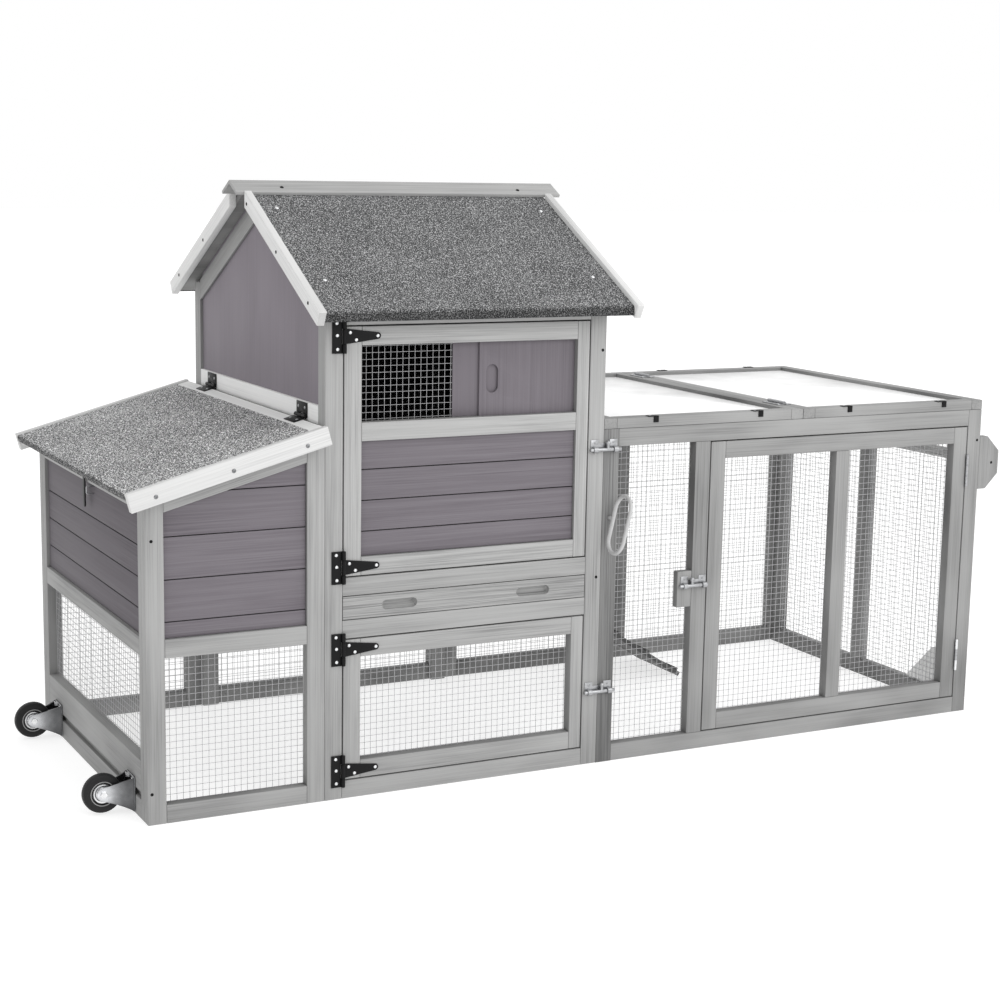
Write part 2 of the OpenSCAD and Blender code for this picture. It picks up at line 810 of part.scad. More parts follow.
felt_top = upright(deck_t) + upright(felt_t) + g;
cap_side = mid_y - cap_w * cos(roof_pitch);
module ridge_cap() {
    low = felt_top + g;
    high = low + upright(cap_t);
    under = cap_side + cap_t * sin(roof_pitch);
    cap_x0 = x1 - roof_over_nest - cap_over;
    cap_x1 = x2 + roof_over_x + cap_over_run;
    color(pale) plate_yz([[under, deck_under(under) + low], [mid_y, deck_under(mid_y) + low],
        [depth - under, deck_under(under) + low], [depth - cap_side, deck_under(cap_side) + high],
        [mid_y, deck_under(mid_y) + high], [cap_side, deck_under(cap_side) + high]],
        cap_x0, cap_x1 - cap_x0);
}

// Bargeboards from a square cut below the eave to the cap's edge
function barge_top(y) = deck_under(y) + felt_top + upright(barge_rise);
module bargeboards() {
    foot = eave_y - barge_reach;
    heel = foot + barge_h * sin(roof_pitch);
    head = cap_side - g;
    drop = upright(barge_h);
    color(pale) front_and_back() for (x = [deck_x0 - barge_t - g, deck_x1 + g])
        plate_yz([[foot, barge_top(foot)], [heel, barge_top(heel) - drop],
            [head, barge_top(head) - drop], [head, barge_top(head)]], x, barge_t);
}

// Upper door with the sliding shutter

module house_door_stiles(z0, z1) {
    box([door_x0, 0, z0], [door_x0 + member_w, member_t, z1]);
    box([door_x1 - free_stile_w, 0, z0], [door_x1, member_t, z1]);
}
module house_door_rail(z) {
    box([panel_x0, 0, z], [panel_x1, member_t, z + member_w]);
}

slider_y1 = net_recess - g - slider_fit;
slider_y0 = slider_y1 - slider_t;
slider_x1 = panel_x1 - g;
slider_x0 = slider_x1 - slider_w;
module upper_door_frame() {
    color(wood) {
        house_door_stiles(upper_z0, upper_z1);
        house_door_rail(upper_z0);
        difference() {
            union() {
                house_door_rail(mid_z0);
                house_door_rail(window_z1);
            }
            box([0, slider_y0 - slider_fit, window_z0 - slider_groove],
                [x2, slider_y1 + slider_fit, window_z1 + slider_groove]);
        }
    }
}

module upper_door_planks() {
    low = upper_z0 + member_w + g;
    high = mid_z0 - g;
    courses = ceil((high - low) / door_course);
    color(mauve) for (i = [0 : courses - 1])
        box([panel_x0, plank_recess, max(low, high + course_lap - (i + 1) * door_course + groove)],
            [panel_x1, plank_recess + board_t, min(high, high + course_lap - i * door_course)]);
}

pane_x0 = panel_x0 + window_net_w;
module upper_door_net() {
    color(steel) net_xz(panel_x0 - g, pane_x0, window_z0, window_z1, net_recess + g);
}

module window_pane() {
    color(mauve) box([pane_x0, net_recess + g, window_z0 + g], [panel_x1, member_t, window_z1 - g]);
}

// Strap that narrows to a round tip
module hinge_strap() {
    half = strap_h / 2;
    tip = strap_tip / 2;
    end = strap_l - tip;
    difference() {
        union() {
            translate([0, 0, -half]) cylinder(r = knuckle_r, h = strap_h);
            plate_xz([[0, -half], [leaf_start, -half], [end, -tip], [end, tip],
                [leaf_start, half], [0, half]], knuckle_r - leaf_t, leaf_t);
            translate([end, knuckle_r, 0]) rotate([90, 0, 0]) cylinder(r = tip, h = leaf_t);
        }
        translate([0, 0, -strap_h]) cylinder(r = pin_r + pin_fit, h = 2 * strap_h);
    }
}
module house_door_straps(z0, z1) {
    for (z = [z0 + member_w / 2, z1 - member_w / 2])
        translate([house_hinge_x, -axis_off, z]) hinge_strap();
}

module upper_door_straps() {
    color(black) house_door_straps(upper_z0, upper_z1);
}

// Shutter with a rounded finger hole
module window_slider() {
    low = window_z0 - slider_groove + slider_fit;
    high = window_z1 + slider_groove - slider_fit;
    pull_x = slider_x0 + pull_inset;
    pull_z = (low + high) / 2;
    straight = (pull_h - pull_w) / 2;
    color(mauve) difference() {
        box([slider_x0, slider_y0, low], [slider_x1, slider_y1, high]);
        box([pull_x - pull_w / 2, 0, pull_z - straight],
            [pull_x + pull_w / 2, member_t, pull_z + straight]);
        for (s = [-straight, straight])
            translate([pull_x, member_t, pull_z + s]) rotate([90, 0, 0]) cylinder(d = pull_w, h = member_t);
    }
}

// Lower door

module lower_door_frame() {
    color(wood) {
        house_door_stiles(lower_z0, lower_z1);
        house_door_rail(lower_z0);
        house_door_rail(lower_z1 - member_w);
    }
}

module lower_door_net() {
    color(steel) net_xz(panel_x0 - g, panel_x1 + g, lower_z0 + member_w, lower_z1 - member_w, net_recess);
}

module lower_door_straps() {
    color(black) house_door_straps(lower_z0, lower_z1);
}

// Pull-out tray

tray_x0 = house_x0 + tray_gap;
tray_x1 = house_x1 - tray_gap;
module tray_front() {
    z = (tray_z0 + tray_z1) / 2;
    straight = (grip_l - grip_h) / 2;
    color(wood) difference() {
        box([tray_x0, 0, tray_z0 + tray_gap], [tray_x1, tray_front_t, tray_z1 - tray_gap]);
        for (s = [-1, 1])
            translate([(tray_x0 + tray_x1 + s * grip_spread) / 2, 0, z]) {
                box([-straight, -tray_front_t, -grip_h / 2], [straight, 2 * tray_front_t, grip_h / 2]);
                for (e = [-straight, straight])
                    translate([e, 2 * tray_front_t, 0]) rotate([90, 0, 0])
                        cylinder(d = grip_h, h = 3 * tray_front_t);
            }
    }
}

module tray_pan() {
    z = tray_z0 + seat;
    y0 = tray_front_t + g;
    y1 = inner_y1 - door_gap;
    color(steel) difference() {
        box([tray_x0, y0, z], [tray_x1, y1, z + pan_h]);
        box([tray_x0 + pan_t, y0 - pan_t, z + pan_t], [tray_x1 - pan_t, y1 - pan_t, z + 2 * pan_h]);
    }
}

// Pop door on the run side of the house

guide_x0 = x2 - gable_recess + g;
guide_x1 = pop_x1 + pop_door_t + guide_fit;
pop_low = pop_z0 - guide_groove + guide_fit;
pop_high = pop_z1 + guide_groove - guide_fit;
module pop_guides() {
    color(wood) difference() {
        for (z = [pop_z0 - guide_h, pop_z1])
            box([guide_x0, pop_door_y0 - pop_travel, z], [guide_x1, pop_door_y1, z + guide_h]);
        box([pop_x0 - guide_fit, 0, pop_z0 - guide_groove],
            [pop_x1 + guide_fit, depth, pop_z1 + guide_groove]);
    }
}

module pop_door() {
    color(mauve) box([pop_x0, pop_door_y0, pop_low], [pop_x1, pop_door_y1, pop_high]);
}

// Rod with a loop in front of the post and a foot on the pop door
module pull_rod() {
    r = rod_d / 2;
    foot = 2.5 * rod_d;
    strand = loop_w / 2;
    color(steel) {
        translate([rod_x, pop_door_y0 + foot / 2, rod_z]) rotate([90, 0, 0])
            cylinder(d = rod_d, h = pop_door_y0 + foot / 2 - loop_mid_y - strand);
        box([pop_x1 + g, pop_door_y0 + r, rod_z - foot / 2],
            [rod_x + r, pop_door_y0 + foot, rod_z + foot / 2]);
        translate([rod_x, loop_mid_y, rod_z]) rotate([0, loop_lean, 0]) translate([0, 0, -loop_drop]) {
            for (s = [-strand, strand])
                translate([0, s, -loop_straight / 2]) cylinder(d = rod_d, h = loop_straight);
            for (s = [0, 1])
                mirror([0, 0, s]) translate([0, 0, loop_straight / 2]) rotate([90, 0, 90])
                    rotate_extrude(angle = 180) translate([strand, 0]) circle(d = rod_d);
        }
    }
}

// Ramp hung on a rod beside the house, with its foot on the ground

ramp_y1 = depth - member_t - ramp_inset;
ramp_y0 = ramp_y1 - ramp_w;
bracket_y = [ramp_y0 + ramp_w / 5, ramp_y1 - ramp_w / 5];
module ramp_brackets() {
    color(steel) for (y = bracket_y)
        translate([0, y - bracket_t / 2, 0]) {
            box([x2, 0, ramp_axis_z - ramp_sleeve], [ramp_axis_x, bracket_t, ramp_axis_z + ramp_sleeve]);
            translate([ramp_axis_x, bracket_t, ramp_axis_z]) rotate([90, 0, 0])
                cylinder(r = ramp_sleeve, h = bracket_t);
        }
    color(steel) translate([ramp_axis_x, ramp_y1, ramp_axis_z]) rotate([90, 0, 0])
        cylinder(r = ramp_rod_r, h = ramp_w);
}

ramp_head = 2 * ramp_t;
ramp_l = (ramp_axis_z - seat - ramp_t / 2 * cos(ramp_angle)) / sin(ramp_angle);
module ramp() {
    step = (ramp_l - 2 * ramp_head) / (cleats - 1);
    spans = [[ramp_y0, bracket_y[0] - bracket_t], [bracket_y[0] + bracket_t, bracket_y[1] - bracket_t],
        [bracket_y[1] + bracket_t, ramp_y1]];
    color(wood) translate([ramp_axis_x, 0, ramp_axis_z]) rotate([0, ramp_angle, 0]) difference() {
        union() {
            box([ramp_head, ramp_y0, -ramp_t / 2], [ramp_l, ramp_y1, ramp_t / 2]);
            for (i = [0 : cleats - 1])
                translate([ramp_head + cleat / 2 + i * step, ramp_y0, ramp_t / 2])
                    cube([cleat, ramp_w, cleat]);
            for (span = spans) {
                box([0, span[0], -ramp_t / 2], [ramp_head + 1, span[1], ramp_t / 2]);
                translate([0, span[1], 0]) rotate([90, 0, 0])
                    cylinder(r = ramp_sleeve, h = span[1] - span[0]);
            }
        }
        translate([0, depth, 0]) rotate([90, 0, 0]) cylinder(r = ramp_rod_r + axle_fit, h = depth);
    }
}

// Walls of the run

module run_post(x) {
    box([x, 0, 0], [x + member_w, member_t, run_h]);
}
module run_rails() {
    for (z = [0, run_top_z])
        box([run_in_x0 + g, 0, z], [run_in_x1 - g, member_t, z + member_w]);
}

module run_front_frame() {
    color(wood) {
        difference() {
            run_post(x2);
            translate([rod_x, 2 * member_t, rod_z]) rotate([90, 0, 0])
                cylinder(d = rod_d + 2 * rod_fit, h = 3 * member_t);
        }
        run_post(run_in_x1);
        run_rails();
        box([run_mid_x0, 0, member_w + g], [run_mid_x1, member_t, run_top_z - g]);
    }
}

module run_back_frame() {
    color(wood) translate([0, depth, 0]) mirror([0, 1, 0]) {
        run_post(x2);
        run_post(run_in_x1);
        run_rails();
        box([run_mid_line - member_w / 2, 0, member_w + g],
            [run_mid_line + member_w / 2, member_t, run_top_z - g]);
    }
}

run_end_y0 = member_t + g;
run_end_y1 = depth - member_t - g;
run_end_in0 = run_end_y0 + member_w;
run_end_in1 = run_end_y1 - member_w;
module run_end_frame() {
    x = x3 - member_t;
    corner = [run_end_in0 + g, member_w + g];
    color(wood) {
        for (z = [0, run_top_z])
            box([x, run_end_y0, z], [x3, run_end_y1, z + member_w]);
        for (y = [run_end_y0, mid_y - member_w / 2, run_end_in1])
            box([x, y, member_w + g], [x3, y + member_w, run_top_z - g]);
        translate([x3 - net_recess + g, 0, 0]) rotate([90, 0, 90]) linear_extrude(gusset_t)
            polygon([corner, corner + [gusset_l, 0], corner + [0, gusset_h]]);
    }
}

// Netting that stays with the fixed walls
module fixed_nets() {
    back = depth - net_recess - net_t;
    half = member_w / 2;
    nest_x1 = x1 - member_w;
    color(steel) {
        net_xz(member_w, nest_x1, member_w, nest_mid_z, net_recess);
        net_xz(member_w, nest_x1, member_w, nest_mid_z, back);
        net_yz(end_y0, end_y1, end_rail_z + end_rail_h, nest_mid_z, net_recess);
        net_xz(house_x0, house_x1, member_w, cross_z0, back);
        net_xz(run_in_x0, run_mid_x0, member_w, run_top_z, net_recess);
        net_xz(run_in_x0, run_mid_line - half, member_w, run_top_z, back);
        net_xz(run_mid_line + half, run_in_x1, member_w, run_top_z, back);
        net_yz(run_end_in0, mid_y - half, member_w, run_top_z, x3 - net_recess - net_t);
        net_yz(mid_y + half, run_end_in1, member_w, run_top_z, x3 - net_recess - net_t);
    }
}

block_x0 = run_mid_x0 - g - block_l;
module bolt_block() {
    low = run_bolt_z - block_h * 0.6;
    color(wood) box([block_x0, 0, low], [run_mid_x0 - g, block_t, low + block_h]);
}

// Half octagons on the run's end, with a round bar between them
module handle_plates() {
    x0 = x3 + g;
    xe = x0 + handle_reach;
    z1 = handle_z + handle_h;
    color(wood) front_and_back()
        plate_xz([[x0, handle_z], [xe - handle_cut / 2, handle_z], [xe, handle_z + handle_cut],
            [xe, z1 - handle_cut], [xe - handle_cut / 2, z1], [x0, z1]], 0, handle_t);
}

module handle_bar() {
    inset = handle_t + g;
    color(wood) translate([x3 + bar_reach, depth - inset, handle_z + handle_h / 2]) rotate([90, 0, 0])
        cylinder(r = bar_r, h = depth - 2 * inset);
}

// Door of the run

net_z0 = run_door_z0 + member_w;
net_z1 = run_door_z1 - member_w;
net_x0 = run_door_x0 + member_w;
net_x1 = run_door_x1 - member_w;
module run_door_frame() {
    half = member_w / 2;
    color(wood) {
        box([run_door_x0, 0, run_door_z0], [net_x0, member_t, run_door_z1]);
        box([net_x1, 0, run_door_z0], [run_door_x1, member_t, run_door_z1]);
        for (z = [run_door_z0, net_z1])
            box([net_x0 + g, 0, z], [net_x1 - g, member_t, z + member_w]);
        box([run_door_mid - half, 0, net_z0 + g], [run_door_mid + half, member_t, net_z1 - g]);
    }
}

module run_door_net() {
    half = member_w / 2;
    color(steel) {
        net_xz(net_x0, run_door_mid - half, net_z0, net_z1, net_recess);
        net_xz(run_door_mid + half, net_x1, net_z0, net_z1, net_recess);
    }
}

run_hinge_z = [run_door_z0 + butt_inset, run_door_z1 - butt_inset];
module run_door_leaves() {
    color(steel) for (z = run_hinge_z)
        translate([run_hinge_x, -axis_off, z]) butt_moving(butt_h, butt_h / 3);
}

// Roof of the nest box, in the slope's own frame about its hinge axis

module on_nest_roof() {
    translate([roof_axis_x, 0, roof_axis_z]) rotate([0, -nest_pitch, 0]) children();
}

felt_z = -axis_off - felt_t;
module nest_roof_deck() {
    color(pale) on_nest_roof() {
        box([-nest_run + felt_t + g, -nest_over_side, felt_z - deck_t],
            [-nest_head, depth + nest_over_side, felt_z - g]);
        front_and_back()
            box([-nest_run, -nest_over_side - g - trim_t, -axis_off - trim_h],
                [-nest_head, -nest_over_side - g, -axis_off]);
    }
}

module nest_roof_felt() {
    color(slate) on_nest_roof() {
        box([-nest_run, -nest_over_side, felt_z], [-nest_head, depth + nest_over_side, -axis_off]);
        box([-nest_run, -nest_over_side, felt_z - deck_t],
            [-nest_run + felt_t, depth + nest_over_side, -axis_off]);
    }
}

roof_hinge_y = [roof_hinge_inset, depth - roof_hinge_inset];
lug_x0 = -seat - latch_t;
latch_x0 = lug_x0 - seat - latch_t;
latch_z = nest_h - 5 * latch_t;
latch_pin_r = latch_w / 4;
module nest_roof_leaves() {
    color(black) {
        for (y = roof_hinge_y)
            translate([roof_axis_x, y, roof_axis_z]) rotate([90, 180 - nest_pitch, 0])
                hinge_moving(roof_leaf_h, roof_leaf_h / 3, roof_leaf_w);
        difference() {
            box([lug_x0, mid_y - latch_w, latch_z - latch_w], [-seat, mid_y + latch_w, nest_h + latch_w]);
            on_nest_roof() box([-2 * nest_run, 0, felt_z - deck_t - g], [0, depth, nest_run]);
        }
        translate([latch_x0 - seat, mid_y, latch_z]) rotate([0, 90, 0])
            cylinder(r = latch_pin_r, h = 2 * latch_t + 2 * seat);
    }
}

// Strap hanging on the latch pin, rounded at both ends
module latch_strap() {
    reach = latch_l - latch_w;
    half = latch_w / 2;
    color(black) difference() {
        union() {
            for (z = [latch_z, latch_z - reach])
                translate([latch_x0, mid_y, z]) rotate([0, 90, 0]) cylinder(d = latch_w, h = latch_t);
            box([latch_x0, mid_y - half, latch_z - reach], [latch_x0 + latch_t, mid_y + half, latch_z]);
        }
        translate([latch_x0 - latch_t, mid_y, latch_z]) rotate([0, 90, 0])
            cylinder(r = latch_pin_r + pin_fit, h = 3 * latch_t);
    }
}

// Bolts: a base plate with two guides, and a rod with a knob between them

bolt_y = -face_gap - bolt_plate_t - bolt_r - bolt_plate_t;
house_bolt_x = x2 - bolt_plate_l / 2;
run_plate_x = run_mid_x1 - bolt_plate_l - 2;
guide_at = [3, bolt_plate_l - 3 - guide_l];
knob_r = bolt_r * 0.9;
knob_h = 3.4 * bolt_r;
module bolt_guide() {
    wall = bolt_r + bolt_fit + 2;
    plate_y = -face_gap - bolt_plate_t;
    box([0, plate_y, -bolt_plate_h / 2], [bolt_plate_l, -face_gap, bolt_plate_h / 2]);
    for (x = guide_at)
        difference() {
            union() {
                box([x, bolt_y, -wall], [x + guide_l, plate_y + 0.5, wall]);
                translate([x, bolt_y, 0]) rotate([0, 90, 0]) cylinder(r = wall, h = guide_l);
            }
            translate([x - guide_l, bolt_y, 0]) rotate([0, 90, 0])
                cylinder(r = bolt_r + bolt_fit, h = 3 * guide_l);
        }
}
module bolt_rod(tip, tail, knob) {
    translate([tip, bolt_y, 0]) rotate([0, 90, 0]) cylinder(r = bolt_r, h = tail - tip);
    translate([knob, bolt_y, 0]) cylinder(r = knob_r, h = knob_h);
    translate([knob, bolt_y, knob_h]) sphere(r = 1.3 * knob_r);
}
module house_bolt(z) {
    tail = house_bolt_x + bolt_plate_l + bolt_over;
    color(steel) translate([0, 0, z])
        bolt_rod(door_x1 + bolt_clear, tail, tail - bolt_plate_l / 2);
}

module upper_bolt() {
    house_bolt(upper_bolt_z);
}

module lower_bolt() {
    house_bolt(lower_bolt_z);
}

module run_bolt() {
    tail = run_plate_x - bolt_over;
    color(steel) translate([0, 0, run_bolt_z])
        bolt_rod(tail, run_door_x0 - bolt_clear, tail + bolt_plate_l / 2);
}

// Fixed leaves, clips and guides

lid_hinge_y = [lid_hinge_inset, depth - lid_hinge_inset];
module lid_clips(x0, x1) {
    half = clip_l / 2;
    front_and_back() for (x = [x0 + clip_inset, x1 - clip_inset]) {
        box([x - half, -clip_t - g, lid_z1 + g], [x + half, clip_reach, lid_z1 + g + clip_t]);
        box([x, -clip_t - g, lid_z1 - clip_reach], [x + half, -g, lid_z1 + g + clip_t]);
    }
}

module black_fittings() {
    color(black) {
        for (span = [[lower_z0, lower_z1], [upper_z0, upper_z1]])
            for (z = [span[0] + member_w / 2, span[1] - member_w / 2])
                translate([house_hinge_x, -axis_off, z]) hinge_fixed(tee_h, strap_h, tee_w);
        for (y = roof_hinge_y)
            translate([roof_axis_x, y, roof_axis_z]) rotate([90, 90, 0])
                hinge_fixed(roof_leaf_h, roof_leaf_h / 3, roof_leaf_w);
        lid_clips(x2, run_mid_line);
    }
}

module silver_fittings() {
    staple_y = mid_y - staple_off;
    staple_z1 = end_top - member_w - g - latch_t;
    staple_z0 = staple_z1 - 2 * latch_w;
    half = latch_t / 2;
    ramp_brackets();
    color(steel) {
        for (z = [lower_bolt_z, upper_bolt_z])
            translate([house_bolt_x, 0, z]) bolt_guide();
        translate([run_plate_x, 0, run_bolt_z]) bolt_guide();
        for (z = run_hinge_z)
            translate([run_hinge_x, -axis_off, z]) butt_fixed(butt_h, butt_h / 3);
        for (y = lid_hinge_y)
            translate([run_mid_line, y, lid_axis_z]) rotate([-90, 0, 0])
                hinge_fixed(lid_leaf_h, lid_leaf_h / 3, lid_leaf_w);
        difference() {
            box([-3 * latch_t, staple_y - half, staple_z0], [plank_recess - g, staple_y + half, staple_z1]);
            box([-2 * latch_t, 0, staple_z0 + latch_t], [plank_recess, depth, staple_z1 - latch_t]);
        }
    }
}

// Two framed panels over the run, hinged to each other

module lid_frame(x0, x1) {
    box([x0, 0, lid_z0], [x0 + lid_bar, depth, lid_z1]);
    box([x1 - lid_bar, 0, lid_z0], [x1, depth, lid_z1]);
    front_and_back()
        box([x0 + lid_bar + g, 0, lid_z0], [x1 - lid_bar - g, lid_bar, lid_z1]);
}
module lid_sheet(x0, x1) {
    top = lid_z1 - sheet_drop;
    box([x0 + lid_bar + g, lid_bar + g, top - sheet_t], [x1 - lid_bar - g, depth - lid_bar - g, top]);
}

module lid_left_frame() {
    color(wood) lid_frame(x2 + g, run_mid_line - lid_gap);
}

module lid_left_sheet() {
    color(clear) lid_sheet(x2 + g, run_mid_line - lid_gap);
}

module lid_right_frame() {
    color(wood) lid_frame(run_mid_line + lid_gap, x3);
}

module lid_right_sheet() {
    color(clear) lid_sheet(run_mid_line + lid_gap, x3);
}

module lid_right_fittings() {
    color(black) lid_clips(run_mid_line, x3);
    color(steel) for (y = lid_hinge_y)
        translate([run_mid_line, y, lid_axis_z]) rotate([-90, 0, 0])
            hinge_moving(lid_leaf_h, lid_leaf_h / 3, lid_leaf_w);
}

place() nest_front_frame();
place() nest_back_frame();
place() nest_end_frame();
place() nest_planks();
place() nest_inside();
place() caster_board();
place() caster_forks();
place() wheel_front();
place() wheel_back();
place() house_front_frame();
place() house_back_frame();
place() house_left_wall();
place() house_right_wall();
place() house_back_planks();
place() tray_runners();
place() rafters();
place() roof_decks();
place() roof_felt();
place() ridge_cap();
place() bargeboards();
place() hinge_rail();
place() fixed_nets();
place() black_fittings();
place() silver_fittings();
place() run_front_frame();
place() run_back_frame();
place() run_end_frame();
place() bolt_block();
place() handle_plates();
place() handle_bar();
place() lid_left_frame();
place() lid_left_sheet();
place() pop_guides();
place() upper_door_frame();
place() upper_door_planks();
place() upper_door_net();
place() window_pane();
place() upper_door_straps();
place() window_slider();
place() lower_door_frame();
place() lower_door_net();
place() lower_door_straps();
place() tray_front();
place() tray_pan();
place() run_door_frame();
place() run_door_net();
place() run_door_leaves();
place() nest_roof_deck();
place() nest_roof_felt();
place() nest_roof_leaves();
place() latch_strap();
place() upper_bolt();
place() lower_bolt();
place() run_bolt();
place() pop_door();
place() pull_rod();
place() lid_right_frame();
place() lid_right_sheet();
place() lid_right_fittings();
place() ramp();
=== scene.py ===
import math
import bpy
from mathutils import Matrix, Vector


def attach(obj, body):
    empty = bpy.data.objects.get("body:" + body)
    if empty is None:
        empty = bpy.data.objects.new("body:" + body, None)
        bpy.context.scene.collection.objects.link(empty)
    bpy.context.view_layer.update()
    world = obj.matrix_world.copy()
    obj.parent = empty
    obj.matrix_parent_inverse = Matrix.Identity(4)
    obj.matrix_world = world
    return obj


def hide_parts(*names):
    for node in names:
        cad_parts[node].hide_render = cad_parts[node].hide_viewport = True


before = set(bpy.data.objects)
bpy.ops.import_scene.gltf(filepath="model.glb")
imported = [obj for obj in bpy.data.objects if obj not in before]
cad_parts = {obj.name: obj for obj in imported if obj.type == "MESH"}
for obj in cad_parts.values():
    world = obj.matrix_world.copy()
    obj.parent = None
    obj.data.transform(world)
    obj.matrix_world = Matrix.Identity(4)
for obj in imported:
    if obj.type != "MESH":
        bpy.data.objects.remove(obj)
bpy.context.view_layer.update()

# Camera
# The coop is seen from beyond its nest end, a little above the ridge, through a short telephoto lens.
# Points of the coop are given in millimetres from the nest end, the front face and the ground.
middle_x, middle_y = 949.6, 375.5


def at(x, y, z):
    """A point of the coop in the shared frame, in metres."""
    return Vector((x - middle_x, y - middle_y, z)) / 1000


heading, tip, lean = (math.radians(v) for v in (27.24, 9.873, 1.0085))
lens = bpy.data.cameras.new("camera")
lens.lens = 69.92
lens.sensor_width = 36
camera = bpy.data.objects.new("camera", lens)
bpy.context.collection.objects.link(camera)
camera.matrix_world = (Matrix.Translation((-1.9586, -3.7415, 1.2292)) @ Matrix.Rotation(-heading, 4, "Z")
                       @ Matrix.Rotation(math.pi / 2 - tip, 4, "X") @ Matrix.Rotation(lean, 4, "Z"))
bpy.context.scene.camera = camera

# Floor and light
# A plain white studio floor under a white sky that fades a little on the nest side, with a broad soft
# sun overhead and a weak lamp in front, so that the end walls stay darker than the front.


def plug(tree, node, sockets):
    """Sets each socket of a node to a value, or links it to the output that is given for it."""
    for name, source in sockets.items():
        if isinstance(source, bpy.types.NodeSocket):
            tree.links.new(source, node.inputs[name])
        else:
            node.inputs[name].default_value = source
    return node


def add(tree, kind, sockets, **settings):
    """A new shader node with its settings and its sockets."""
    node = tree.nodes.new("ShaderNode" + kind)
    for name, setting in settings.items():
        setattr(node, name, setting)
    return plug(tree, node, sockets)


def between(tree, source, low, high, start=0.0, end=1.0):
    """A source that runs from start to end, spread between two other values."""
    return add(tree, "MapRange", {"Value": source, "From Min": start, "From Max": end,
                                  "To Min": low, "To Max": high}).outputs["Result"]


def blank(name):
    """A new material, with its node tree and its shader."""
    material = bpy.data.materials.new(name)
    material.use_nodes = True
    return material, material.node_tree, material.node_tree.nodes["Principled BSDF"]


bpy.context.scene.view_settings.view_transform = "Standard"
bpy.ops.object.select_all(action="DESELECT")
bpy.ops.mesh.primitive_plane_add(size=80, location=(0, 0, 0))
floor = bpy.context.object
floor.name = "studio_floor"
white = (1, 1, 1, 1)
paint, tree, shader = blank("floor_paint")
plug(tree, shader, {"Base Color": (0.42, 0.42, 0.42, 1), "Roughness": 0.9,
                    "Emission Color": white, "Emission Strength": 0.72})
floor.data.materials.append(paint)
sky = bpy.data.worlds.new("studio_sky")
sky.use_nodes = True
tree = sky.node_tree
way = add(tree, "TexCoord", {}).outputs["Generated"]
sideways = add(tree, "SeparateXYZ", {"Vector": way}).outputs["X"]
fade = between(tree, sideways, 0.68, 1.0, -0.9, 0.1)
plug(tree, tree.nodes["Background"], {"Color": white, "Strength": fade})
bpy.context.scene.world = sky
bulb = bpy.data.lights.new("soft_sun", "SUN")
bulb.energy = 0.45
bulb.angle = math.radians(60)
sun = bpy.data.objects.new("soft_sun", bulb)
bpy.context.collection.objects.link(sun)
sun.rotation_euler = (math.radians(18), math.radians(12), 0)
bulb = bpy.data.lights.new("front_lamp", "AREA")
bulb.size = 3.0
bulb.energy = 60
lamp = bpy.data.objects.new("front_lamp", bulb)
bpy.context.collection.objects.link(lamp)
lamp.location = (1.2, -4.6, 2.6)
lamp.rotation_euler = (Vector((0, 0, 0.5)) - lamp.location).to_track_quat("-Z", "Y").to_euler()

# Walls of the nest box
# Planed softwood battens, 36 by 24, washed grey; the posts are cut to the roof's slope and the
# rails are screwed between them, with a hair's gap at each joint.
batten, thick, gap, depth = 36, 24, 0.2, 765
along_x, along_y, along_z = (0, 0, 0), (0, 0, 90), (0, 90, 0)


def ramp(tree, source, *stops):
    """A colour ramp through stops of place and colour."""
    made = add(tree, "ValToRGB", {"Fac": source})
    band = made.color_ramp.elements
    band[0].position = stops[0][0]
    band[1].position = stops[-1][0]
    for place, colour in stops[1:-1]:
        band.new(place)
    for element, (place, colour) in zip(band, stops):
        element.color = (*colour, 1)
    return made.outputs["Color"]


def relief(tree, height, strength, distance):
    """The normal of a surface in fine relief."""
    return add(tree, "Bump", {"Height": height, "Strength": strength, "Distance": distance}).outputs["Normal"]


